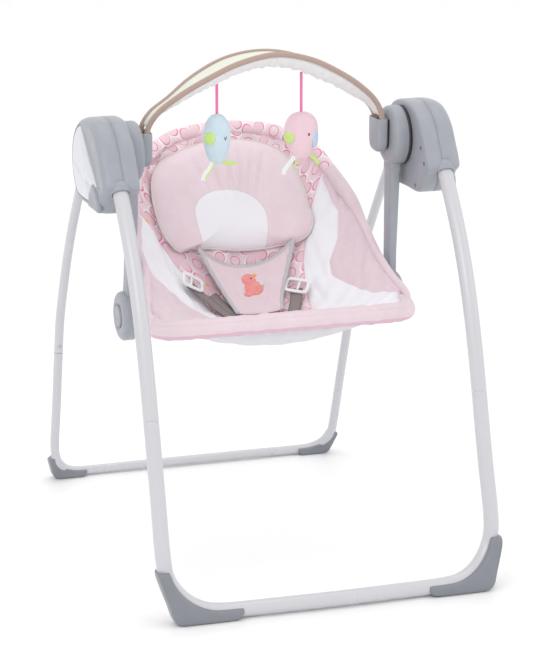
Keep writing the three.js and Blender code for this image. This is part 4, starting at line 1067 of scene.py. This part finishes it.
front_rings = [on_pillow(s, 1) for s in shares]
back_rings = [on_pillow(s, -1) for s in shares[::-6]]
pillow_grid = np.stack([r[0] for r in front_rings + back_rings])
pillow_uv = np.stack([np.concatenate([r[1], r[1][:1]]) for r in front_rings + back_rings])
pillow = surface("head_pillow_stuffed", pillow_grid, around=True, capped=True, uv=pillow_uv)


def arch_panel(tree, where, tint):
    """A white arch in the lower middle of the pillow: the inside of an egg whose top is flatter than its
    bottom, with a stitched edge."""
    left, up, half, top, bottom = 0.018, 0.056, 0.066, 0.053, 0.110
    flat_uv = tree.nodes.new("ShaderNodeTexCoord").outputs["UV"]
    split = put(tree, "ShaderNodeSeparateXYZ", {"Vector": flat_uv})
    dx = maths(tree, "MULTIPLY", maths(tree, "ADD", split.outputs["X"], left), 1 / half)
    dy = maths(tree, "SUBTRACT", split.outputs["Y"], up)
    dy = maths(tree, "MAXIMUM", maths(tree, "MULTIPLY", dy, 1 / top), maths(tree, "MULTIPLY", dy, -1 / bottom))
    reach = hypotenuse(tree, dx, dy)
    colour = mix(tree, spread(tree, reach, 0.99, 1.0, 1, 0), tint, (0.87, 0.87, 0.91))
    line = spread(tree, maths(tree, "ABSOLUTE", maths(tree, "SUBTRACT", reach, 1.0)), 0.010, 0.020, 0.7, 0)
    return mix(tree, line, colour, (0.72, 0.62, 0.64))


pillow_cloth = material("pillow velour", (0.83, 0.69, 0.74), (0.80, 0.655, 0.705), velour_pile, 1500,
                        0.00025, 0.85, sheen=0.25, paint=arch_panel)
finish(pillow, "seat", "pink_velour", pillow_cloth, "head_pillow")
print("pillow:", len(pillow_grid), "rings, crown", CROWN, "m")

# %% Pillow piping
cream = material("cream piping", (0.80, 0.76, 0.72), (0.70, 0.66, 0.62), plain_weave, 5000, 0.0001, 0.8, "UV")
edge_line = above_seat(outline[:, 1], outline[:, 0] / rim_x(outline[:, 1]), 0.006, PAD_REACH)
edge_line = np.vstack([edge_line, edge_line[:1]])
grid = carried(edge_line, rounded_ring(0.0019, 0.0019, 12), (0, -0.9, 0.42))
piping = surface("head_pillow_piping", grid, around=True, capped=True,
                 uv=round_uv(0.012, 12, distances(edge_line)))
finish(piping, "seat", "pink_velour", cream)
print("pillow piping:", round(float(distances(edge_line)[-1]), 3), "m")

# %% [markdown]
# ### Crotch panel, straps and sling
# The crotch panel is a flat pad between the straps, wide at the top and bound in grey tape. The straps
# are woven webbing, and each runs through a white slide. All of them lie on the seat surface at a small
# height, because a plane with a Shrinkwrap modifier would lose its thickness in the hollow.

# %% Crotch panel


def panel_point(r, s, height):
    """r runs from the front to the top edge, s across. The half width grows as r^1.3, the top edge
    sags in its middle and its corners stand up."""
    half = 0.041 + 0.048 * r**1.3
    front, top = 0.35, 0.565
    u = front + (top - front) * r - 0.013 * r**3 * (1 - s**2) + 0.012 * r**6 * s**2
    x = 0.003 + half * s
    lift = height + 0.006 + 0.012 * r**2 * s**4 + 0.004 * np.sin(3.0 * r)
    return u, x / rim_x(u), lift, PAD_REACH


PANEL_HALF, PANEL_LONG = 0.07, 0.13     # metres, for its edges and its UV
r_grid, s_grid = np.meshgrid(np.linspace(0, 1, 70), np.linspace(-1, 1, 70), indexing="ij")
edge = (bowl((1 - np.abs(s_grid)) * PANEL_HALF, 0.006) * bowl(r_grid * PANEL_LONG, 0.006)
        * bowl((1 - r_grid) * PANEL_LONG, 0.006))
dimple = 0.0014 * sum(fold(s_grid, r_grid, *ends) for ends in (
    (-0.75, 0.95, -0.15, 0.35, 0.08), (0.75, 0.95, 0.2, 0.35, 0.08),
    (-0.4, 0.8, -0.5, 0.1, 0.07), (0.45, 0.7, 0.4, 0.05, 0.06)))
face = above_seat(*panel_point(r_grid, s_grid, 0.0022 + edge * 0.0022 - dimple))
rear = above_seat(*panel_point(r_grid, s_grid, 0.0022 - edge * 0.0018))
flat_panel = np.stack([s_grid * PANEL_HALF, r_grid * PANEL_LONG], -1)
crotch = surface("crotch_panel_pad", two_faced(face, rear), around=True, capped="flat",
                 uv=two_faced_uv(flat_panel))
finish(crotch, "seat", "pink_velour", velour, "crotch_panel")
print("crotch panel:", round(float(np.ptp(face[..., 0])), 3), "m wide")

# %% Crotch panel binding
silver = material("grey satin tape", (0.62, 0.61, 0.63), (0.46, 0.45, 0.47), plain_weave, 4000, 0.0001,
                  0.45, "UV", sheen=0.3)
t = np.linspace(0, 1, 90)
walks = [(t, -1 + 0 * t), (1 + 0 * t, -1 + 2 * t), (1 - t, 1 + 0 * t)]
r_line, s_line = (np.concatenate([w[k] for w in walks]) for k in (0, 1))
keep = np.r_[True, (np.abs(np.diff(r_line)) + np.abs(np.diff(s_line))) > 1e-6]
tape_path = above_seat(*panel_point(r_line[keep], s_line[keep], 0.0024))
flutter = 1 + 0.10 * np.sin(distances(tape_path) * 300)[:, None, None] * np.array([1, 0.3])
grid = carried(tape_path, rounded_ring(0.0036, 0.0024, 16, 2.5)[None] * flutter, (0, -0.8, 0.6))
binding = surface("crotch_panel_binding", grid, around=True, capped=True,
                  uv=round_uv(0.018, 16, distances(tape_path)))
finish(binding, "seat", "pink_velour", silver)
print("binding:", round(float(distances(tape_path)[-1]), 3), "m")

# %% Small patches: discs of cloth laid on a surface


def patch(name, middle, right, up, size, outline_shape, dome, body, slot, skin, n=48):
    """A thin domed patch: rings of an outline shrink towards its middle while it rises as 1 - share^2."""
    middle, right, up = (np.asarray(v, float) for v in (middle, right, up))
    normal = np.cross(right, up)
    angle = round_angles(n)
    radius = outline_shape(angle)
    grid = [middle + (np.cos(angle) * radius * size[0])[:, None] * right * s
            + (np.sin(angle) * radius * size[1])[:, None] * up * s + normal * h
            for s, h in ((0.98, -0.3 * dome), (1.0, 0.0), (0.97, 0.35 * dome), (0.85, 0.7 * dome),
                         (0.6, 0.9 * dome), (0.3, dome), (0.05, dome))]
    return finish(surface(name, np.stack(grid), around=True, capped=True), body, slot, skin)


def circle(angle):
    """A round outline: radius 1 at every angle."""
    return np.ones_like(angle)


def felt(name, colour, dark, sheen=0.0):
    """Felt for the patches: the velour's pile, only finer."""
    return material(name, colour, dark, velour_pile, 2500, 0.0002, 0.85, sheen=sheen)


coral = felt("coral felt", (0.86, 0.33, 0.31), (0.78, 0.27, 0.26), 0.2)
yellow = felt("yellow felt", (0.86, 0.55, 0.12), (0.78, 0.47, 0.08))
mint = felt("mint felt", (0.62, 0.80, 0.72), (0.55, 0.74, 0.66))
bead_black = material("black bead", (0.02, 0.015, 0.015), (0.03, 0.02, 0.02), mould_grain, 900, 0.00001, 0.15)


def on_panel(r, s, height):
    """A place on the crotch panel, with its rightward and upward directions."""
    at = above_seat(*panel_point(np.array([r]), np.array([s]), height))[0]
    right = unit(above_seat(*panel_point(np.array([r]), np.array([s + 0.05]), height))[0] - at)
    up = unit(above_seat(*panel_point(np.array([r + 0.05]), np.array([s]), height))[0] - at)
    return at, right, unit(up - right * (up @ right))


for name, r, s, size, skin, dome in (
        ("chick_body", 0.54, 0.05, (0.0165, 0.0145), coral, 0.0022),
        ("chick_head", 0.72, -0.04, (0.0125, 0.0115), coral, 0.0026),
        ("chick_tail", 0.42, -0.16, (0.0085, 0.0050), coral, 0.0018),
        ("chick_beak", 0.80, 0.13, (0.0034, 0.0028), yellow, 0.0020),
        ("chick_wing", 0.60, 0.29, (0.0046, 0.0034), mint, 0.0018),
        ("chick_eye", 0.73, 0.02, (0.0016, 0.0016), bead_black, 0.0040),
        ("chick_button", 0.42, 0.13, (0.0026, 0.0018), yellow, 0.0030)):
    patch(name, *on_panel(r, s, 0.0045), size, circle, dome, "seat", "pink_velour", skin)
print("felts:", [m.name for m in (coral, yellow, mint)])

# %% Webbing, slides and sling
webbing = material("taupe webbing", (0.36, 0.31, 0.31), (0.22, 0.18, 0.18), plain_weave, 3600, 0.0003, 0.7,
                   "UV")


def strap(name, points, width, thick, *nodes):
    """A flat strap: rounded-box sections carried along a line of (u, x, height) points on the seat."""
    line = spline(points, np.linspace(0, 1, 60))
    u, v = line[:, 0], line[:, 1] / rim_x(line[:, 0])
    path = above_seat(u, v, line[:, 2])
    tangent = unit(np.gradient(path, axis=0))
    across = unit(np.cross(seat_normal(u, v), tangent))
    up = np.cross(tangent, across)
    ring = rounded_ring(width / 2, thick / 2, 20, 5)
    grid = path[:, None] + ring[:, :1] * across[:, None] + ring[:, 1:] * up[:, None]
    piece = surface(name, grid, True, True, round_uv(2 * width, 20, distances(path)))
    return finish(piece, "seat", "taupe_webbing", webbing, *nodes)


strap("harness_strap_left_web", [(0.426, -0.113, 0.006), (0.405, -0.100, 0.008), (0.38, -0.085, 0.009),
                                 (0.33, -0.055, 0.005)], 0.021, 0.0016, "harness_strap_left")
strap("harness_strap_right_web", [(0.418, 0.081, 0.006), (0.395, 0.078, 0.008), (0.365, 0.072, 0.009),
                                  (0.32, 0.058, 0.005)], 0.021, 0.0016, "harness_strap_right")
strap("harness_loop_left", [(0.435, -0.070, 0.003), (0.41, -0.062, 0.005), (0.38, -0.050, 0.005),
                            (0.34, -0.03, 0.004)], 0.020, 0.0014)


def slide_frame(name, u, x, tilt, node):
    """A three-bar slide: a rounded rectangle frame with a middle bar, lying on the seat."""
    u, v = np.array([u]), np.array([x / rim_x(u)])
    at, normal = above_seat(u, v, 0.0125)[0], seat_normal(u, v)[0]
    right = unit(np.cross((0, 0.3, -1), normal))
    right = unit(right - normal * (right @ normal))
    up = np.cross(normal, right)
    right, up = right * np.cos(tilt) + up * np.sin(tilt), up * np.cos(tilt) - right * np.sin(tilt)
    ring = rounded_ring(0.0190, 0.0120, 64, 6)
    path = at + ring[:, :1] * right + ring[:, 1:] * up
    path = np.vstack([path, path[:1]])
    piece = surface(name, carried(path, rounded_ring(0.0030, 0.0020, 12, 3), normal), True, True)
    finish(piece, "seat", "white_plastic", white_plastic, node)
    bar_path = at + np.linspace(-0.0085, 0.0085, 9)[:, None] * up - 0.003 * right
    bar = surface(name + "_bar", carried(bar_path, rounded_ring(0.0020, 0.0016, 12, 3), normal), True, True)
    finish(bar, "seat", "white_plastic", white_plastic)


slide_frame("strap_adjuster_left_slide", 0.432, -0.110, 2.1, "strap_adjuster_left")
slide_frame("strap_adjuster_right_slide", 0.42, 0.083, 0.2, "strap_adjuster_right")
print("webbing: 21 mm wide, in slides 38 mm wide")

# %% Sling under the seat
SLING = MM * np.array([(0, -155, 403), (0, -153, 388), (0, -142, 373), (0, -100, 359), (0, -40, 347),
                       (0, 20, 352), (0, 78, 388)])
u_s, s_s = np.meshgrid(np.linspace(0, 1, 90), np.linspace(-1, 1, 110), indexing="ij")
middle_line = spline(SLING, u_s.ravel()).reshape(u_s.shape + (3,))
sling_top = np.stack([0.160 * s_s, middle_line[..., 1],
                      middle_line[..., 2] + 0.034 * np.minimum(1, 2.5 * u_s) * s_s**2
                      + 0.0012 * np.sin(23 * s_s + 4 * u_s) * np.sin(9 * u_s)], -1)
sling_low = sling_top - (0, 0, 0.0016)
sling_flat = np.stack([s_s * 0.17, u_s * 0.26], -1)
sling = surface("under_sling_cloth", two_faced(sling_top, sling_low), True, "flat", two_faced_uv(sling_flat))
finish(sling, "seat", "white_cloth", white_cloth, "under_sling")
print("sling: 0.335 x 0.262 m of cloth")

# %% [markdown]
# ## Toy bar
# Two springy rods in piped cloth stand in a clip at each end and splay at the crown. A mesh sleeve is
# stretched between them, and the toys hang from it on ribbons. The sleeve joins matching points of the two
# rods, so it needs no simulation to follow them, and its lower side sags between the rods as plush does.

# %% Clips


def box_levels(middle_x, levels, n):
    """Rounded-box sections stacked along z, from (z, half depth, half width) levels in mm."""
    ring, middle_y = rounded_ring(1, 1, n, 5), -20
    return MM * np.stack([np.stack([middle_x + hx * ring[:, 0], middle_y + hy * ring[:, 1], np.full(n, z)], 1)
                          for z, hy, hx in levels])


CLIP_LEVELS = [(655.3, 5, 1.5), (656.5, 9, 5), (659, 14, 8), (663, 18.4, 9.6), (668, 21.8, 10.1),
               (675, 23.8, 10.25), (690, 24, 10.25), (708, 24, 10.25), (712.4, 23.8, 10.1),
               (713.6, 23.2, 9.5), (714, 22.6, 8.9), (713.6, 22.0, 8.3), (712.4, 21.7, 8.0),
               (704, 21.5, 7.8), (700, 21.5, 7.8)]
for word, side in SIDES.items():
    grid = flipped(box_levels(204.25, CLIP_LEVELS, 64), side)
    piece = surface(f"toy_bar_clip_{word}_pocket", grid, True, True)
    finish(piece, "toy_bar", "grey_plastic", grey_plastic, f"toy_bar_clip_{word}")
print("clip:", len(CLIP_LEVELS), "levels")

# %% Rods
ROD_RADIUS = 0.0046
FRONT_ROD = MM * mirrored([(204, -38, 690), (204, -38, 702), (203.8, -38, 712), (200.5, -41, 726),
                           (188, -48, 747), (157, -63, 775), (114, -78, 803), (60, -89, 829), (0, -95, 841)])
REAR_ROD = MM * mirrored([(204, -3, 690), (204, -3, 702), (203.8, -3, 712), (200, -3, 724), (187, -2, 741),
                          (157, -1, 762), (116, -1, 794), (61, -2, 822), (0, -4, 832)])
taupe_cloth = material("taupe piping cloth", (0.50, 0.37, 0.32), (0.42, 0.30, 0.26), plain_weave, 4200,
                       0.00015, 0.75, "UV", sheen=0.2)
for name, points in (("toy_bar_front_rod", FRONT_ROD), ("toy_bar_rear_rod", REAR_ROD)):
    tube = pipe(f"{name}_piping", points, ROD_RADIUS, (0, 1, 0), 220, 20)
    finish(tube, "toy_bar", "taupe_piping", taupe_cloth, name)
print("rods are", ROD_RADIUS * 2, "m thick in their cloth")

# %% Sleeve
SLEEVE_ENDS = (0.06, 0.94)     # shares of the rods' length between which the sleeve is stretched
t = np.linspace(*SLEEVE_ENDS, 180)
front_line, rear_line = (walk(p, 180, *SLEEVE_ENDS) for p in (FRONT_ROD, REAR_ROD))
across = rear_line - front_line
out = unit(np.cross(unit(across), unit(np.gradient(front_line, axis=0))))
out = out * np.sign(out[:, 2:])
s = np.linspace(0.06, 0.94, 36)
sag = np.sin(np.pi * s)
full = np.clip((0.5 - np.abs(t - 0.5)) * 3.2, 0, 1)


def between_rods(lift):
    """Points from the front rod to the rear one, raised by lift."""
    return front_line[:, None] + s[None, :, None] * across[:, None] + lift[..., None] * out[:, None]


crumple = (0.0012 * np.sin(150 * t)[:, None] * np.sin(3 * np.pi * s)
           + 0.0008 * np.sin(260 * t + 1)[:, None] * sag)
top_sheet = between_rods(0.001 - 0.002 * sag[None] + 0 * t[:, None])
low_sheet = between_rods(-0.0016 - 0.0205 * full[:, None] * sag[None] ** 0.8 + crumple * full[:, None])
sleeve_flat = np.stack(np.broadcast_arrays(s[None] * 0.09, distances(front_line)[:, None]), -1)


def belly_cloth(tree, where, tint):
    """The sleeve is greenish mesh on top and white plush below, split by an attribute."""
    below = put(tree, "ShaderNodeAttribute", attribute_name="below").outputs["Fac"]
    return mix(tree, spread(tree, below, 0.45, 0.55), tint, (0.88, 0.88, 0.88))


mesh_cloth = material("cream mesh", (0.84, 0.86, 0.76), (0.72, 0.74, 0.64), plain_weave, 2600, 0.0002, 0.8,
                      "UV", paint=belly_cloth)
below = two_faced(np.zeros(top_sheet.shape[:2]), np.ones(low_sheet.shape[:2]))
sleeve = surface("toy_bar_sleeve_mesh", two_faced(top_sheet, low_sheet), True, "flat",
                 two_faced_uv(sleeve_flat), {"below": below})
finish(sleeve, "toy_bar", "cream_mesh", mesh_cloth, "toy_bar_sleeve")
print("sleeve:", round(float(distances(front_line)[-1]), 3), "m along the front rod")

# %% Ribbons and toys


def satin(name, colour, dark, rough=0.5, sheen=0.0):
    """Ribbon cloth: a very fine weave along the UV map."""
    return material(name, colour, dark, plain_weave, 7000, 0.00005, rough, "UV", sheen=sheen)


def plush(name, colour, dark):
    """Long-piled cloth of the toys."""
    return material(name, colour, dark, velour_pile, 2200, 0.0003, 0.9, sheen=0.4)


hot_pink = satin("pink satin ribbon", (0.86, 0.22, 0.46), (0.76, 0.16, 0.38), 0.4, 0.3)
lime = satin("lime ribbon", (0.60, 0.80, 0.26), (0.52, 0.72, 0.20))
white_satin = satin("white ribbon", (0.86, 0.86, 0.86), (0.78, 0.78, 0.78))
blue_plush = plush("blue plush", (0.62, 0.74, 0.82), (0.57, 0.70, 0.78))
pink_plush = plush("pink plush", (0.84, 0.62, 0.68), (0.80, 0.57, 0.64))
lime_felt = felt("lime felt", (0.62, 0.80, 0.28), (0.55, 0.74, 0.22))
sky_felt = felt("sky blue felt", (0.55, 0.66, 0.83), (0.50, 0.61, 0.79))


def flat_tape(name, points, width, thick, skin, body, slot, n=40):
    """A ribbon: a rounded-box section carried along a smooth line, with its flat side to the front."""
    path = walk(points, n)
    grid = carried(path, rounded_ring(width / 2, thick / 2, 16, 3), (0, 1, 0))
    piece = surface(name, grid, True, True, round_uv(2 * width, 16, distances(path)))
    return finish(piece, body, slot, skin), path


TOYS = {"left": dict(x=-86, y=-43, hang=796.2, top=740, height=84, width=46, depth=38, skin=blue_plush,
                     slot="blue_plush", shoulder=0.06),
        "right": dict(x=58, y=-47, hang=802.2, top=736, height=80, width=60, depth=40, skin=pink_plush,
                      slot="pink_plush", shoulder=0.20)}
RIBBON, KNOT = 0.005, 0.0003     # the ribbon's width and its gap from the toy, in metres
for word, toy in TOYS.items():
    x, y, top, hang = (toy[key] * MM for key in ("x", "y", "top", "hang"))
    body = f"toy_{word}"
    steps = np.linspace(0, 1, 12)[:, None]
    line = np.array([x, y, hang]) * (1 - steps) + np.array([x, y, top + KNOT]) * steps
    tape, path = flat_tape(f"toy_ribbon_{word}_satin", line, RIBBON, 0.0012, hot_pink, body, "pink_ribbon")
    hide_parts(f"toy_ribbon_{word}")
    polar = np.linspace(0.02, np.pi - 0.02, 60)
    angle = round_angles(80)
    lift = np.cos(polar)[:, None]
    girth = np.sin(polar)[:, None] ** 0.86 * (1 + toy["shoulder"] * lift) / (1 + 0.3 * toy["shoulder"])
    seam = 1 - 0.035 * np.exp(-(((angle + 0.2) % (2 * np.pi) - np.pi) / 0.05) ** 2)
    lumps = 1 + 0.012 * np.sin(3 * angle + 2 * polar[:, None]) * np.sin(2.5 * polar[:, None])
    egg = np.stack(np.broadcast_arrays(
        x + toy["width"] / 2 * MM * girth * np.cos(angle) * seam * lumps,
        y + toy["depth"] / 2 * MM * girth * np.sin(angle) * seam * lumps,
        top - toy["height"] / 2 * MM * (1 - lift)), -1)
    stuffed = surface(f"toy_{word}_plush", egg, True, True)
    finish(stuffed, body, toy["slot"], toy["skin"], f"toy_{word}")
    print("ribbon", word, round(hang - top - KNOT, 4), "m")

# %% Toy details
UP = np.array([0.0, 0.0, 1.0])


def on_toy(toy, across, level):
    """A place on a toy's skin: across turns from straight ahead, level is the height share, -1 to 1."""
    girth = (1 - level**2) ** 0.43 * (1 + toy["shoulder"] * level) / (1 + 0.3 * toy["shoulder"])
    wide, deep = toy["width"] / 2 * MM * girth, toy["depth"] / 2 * MM * girth
    at = np.array([toy["x"] * MM + wide * np.sin(across), toy["y"] * MM - deep * np.cos(across),
                   toy["top"] * MM - toy["height"] / 2 * MM * (1 - level)])
    normal = unit(np.array([np.sin(across) / wide, -np.cos(across) / deep,
                            level / (toy["height"] / 2 * MM)]))
    right = unit(np.cross(UP, normal))
    return at, right, np.cross(normal, right)


def toy_patch(word, name, across, level, size, skin, dome=0.0016, shape=circle):
    """A patch sunk 0.4 mm into a toy's skin."""
    at, right, up = on_toy(TOYS[word], across, level)
    patch(f"toy_{word}_{name}", at - np.cross(right, up) * 0.0004, right, up, size, shape, dome,
          f"toy_{word}", TOYS[word]["slot"], skin)


def wing_shape(angle):
    """A rounded wing: 1 + 0.25 cos a - 0.12 cos 2a."""
    return 1 + 0.25 * np.cos(angle) - 0.12 * np.cos(2 * angle)


toy_patch("left", "spot", -0.80, 0.10, (0.0095, 0.0110), lime_felt)
toy_patch("right", "spot", -1.05, 0.0, (0.0095, 0.0105), lime_felt)
toy_patch("right", "eye", 0.25, 0.12, (0.0014, 0.0026), bead_black, 0.0020)
toy_patch("right", "wing", 0.80, -0.10, (0.0080, 0.0135), sky_felt, 0.002, wing_shape)
for i, (start, stop) in enumerate((((0.30, 0.14), (0.42, 0.02)), ((0.42, 0.02), (0.52, 0.16)))):
    ends = [on_toy(TOYS["left"], a, b)[0] - (0, 0.0006, 0) for a, b in (start, stop)]
    flat_tape(f"toy_left_eyelid_{i}", np.linspace(*ends, 8), 0.0009, 0.0009, bead_black, "toy_left",
              "blue_plush", 10)
print("toys:", list(TOYS))

# %% Ribbon tails and feet
TAPES = [
    ("left", "tail", [(-0.008, 0.004), (-0.016, -0.010), (-0.024, -0.020), (-0.026, -0.028)], 0.0085,
     white_satin),
    ("left", "foot_a", [(-0.005, 0.003), (-0.011, -0.010), (-0.019, -0.020), (-0.021, -0.026)], 0.0032, lime),
    ("left", "foot_b", [(0.004, 0.004), (0.014, -0.001), (0.026, -0.002), (0.030, 0.001)], 0.0065, lime),
    ("right", "tail", [(-0.012, 0.004), (-0.022, -0.008), (-0.030, -0.018), (-0.032, -0.026)], 0.0080,
     white_satin),
    ("right", "foot_a", [(-0.004, 0.003), (-0.008, -0.006), (-0.014, -0.013), (-0.017, -0.018)], 0.0030, lime),
    ("right", "foot_b", [(0.010, 0.008), (0.018, 0.002), (0.026, -0.006), (0.030, -0.012)], 0.0060, lime)]
for word, name, points, width, skin in TAPES:
    toy = TOYS[word]
    low = np.array([toy["x"], toy["y"], toy["top"] - toy["height"] + 3]) * MM
    line = np.array([low + (dx, -0.004, dz) for dx, dz in points])
    flat_tape(f"toy_{word}_{name}", line, width, 0.0010, skin, f"toy_{word}", toy["slot"], 30)
print("tapes on the toys:", len(TAPES))

# %% Small fittings: emboss, spring buttons, painted shadow behind the clips


def teardrop(angle):
    """A teardrop outline: 1 - 0.22 sin a |cos a|."""
    return 1 - 0.22 * np.sin(angle) * np.abs(np.cos(angle))


SPRING_DOT = [(-2, 2.6), (0.4, 3.0), (1.2, 2.4), (1.6, 1.2)]
# Each clip shadow is a thin near-black plate: painted shadow for the dark gap between the clip and the hub.
SHADOW_LEVELS = [(663, 18.4, 1), (668, 22.0, 1), (675, 24.4, 1), (690, 24.9, 1), (708, 24.9, 1), (712, 24.6, 1)]
for word, side in SIDES.items():
    patch(f"housing_emboss_{word}", MM * np.array([side * 245.1, -101, 634]), (0, -side, 0), (0, 0, 1),
          (0.014, 0.019), teardrop, 0.0009, "base", "grey_plastic", grey_plastic)
    dot = about_axis(SPRING_DOT, MM * np.array([272.2, 298.9, 273.7]), unit(np.array([0, -0.957, -0.29])), 28)
    finish(surface(f"spring_button_{word}", flipped(dot, side), True, True), "rear_frame", "pearl_paint",
           bare_steel)
    plate = surface(f"clip_shadow_{word}", flipped(box_levels(214.7, SHADOW_LEVELS, 48), side), True, True)
    finish(plate, "toy_bar", "grey_plastic", painted_shade)
print("fittings on each side: emboss, spring button and clip shadow")

# %% [markdown]
# ## Parts that keep their solid shape
# Shafts, bearings, gear, motor and battery cells are inside the housings. Their solids already have the
# right shape, so they only get a finish. New meshes would add nothing that can be seen.

# %% Inner parts
INNER = {"swing_shaft_left": bare_steel, "swing_shaft_right": bare_steel, "drive_motor": bare_steel,
         "shaft_bearing_left": white_plastic, "shaft_bearing_right": white_plastic,
         "drive_gear": white_plastic, "motor_pinion": white_plastic,
         "battery_cell_1": black_film, "battery_cell_2": black_film,
         "seat_knuckle_left": grey_plastic, "seat_knuckle_right": grey_plastic,
         "front_hoop": pearl_paint, "back_hoop": pearl_paint, "speed_knob": grey_plastic}
for node, skin in INNER.items():
    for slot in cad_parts[node].material_slots:
        slot.material = skin
print("solids with a finish only:", len(INNER))
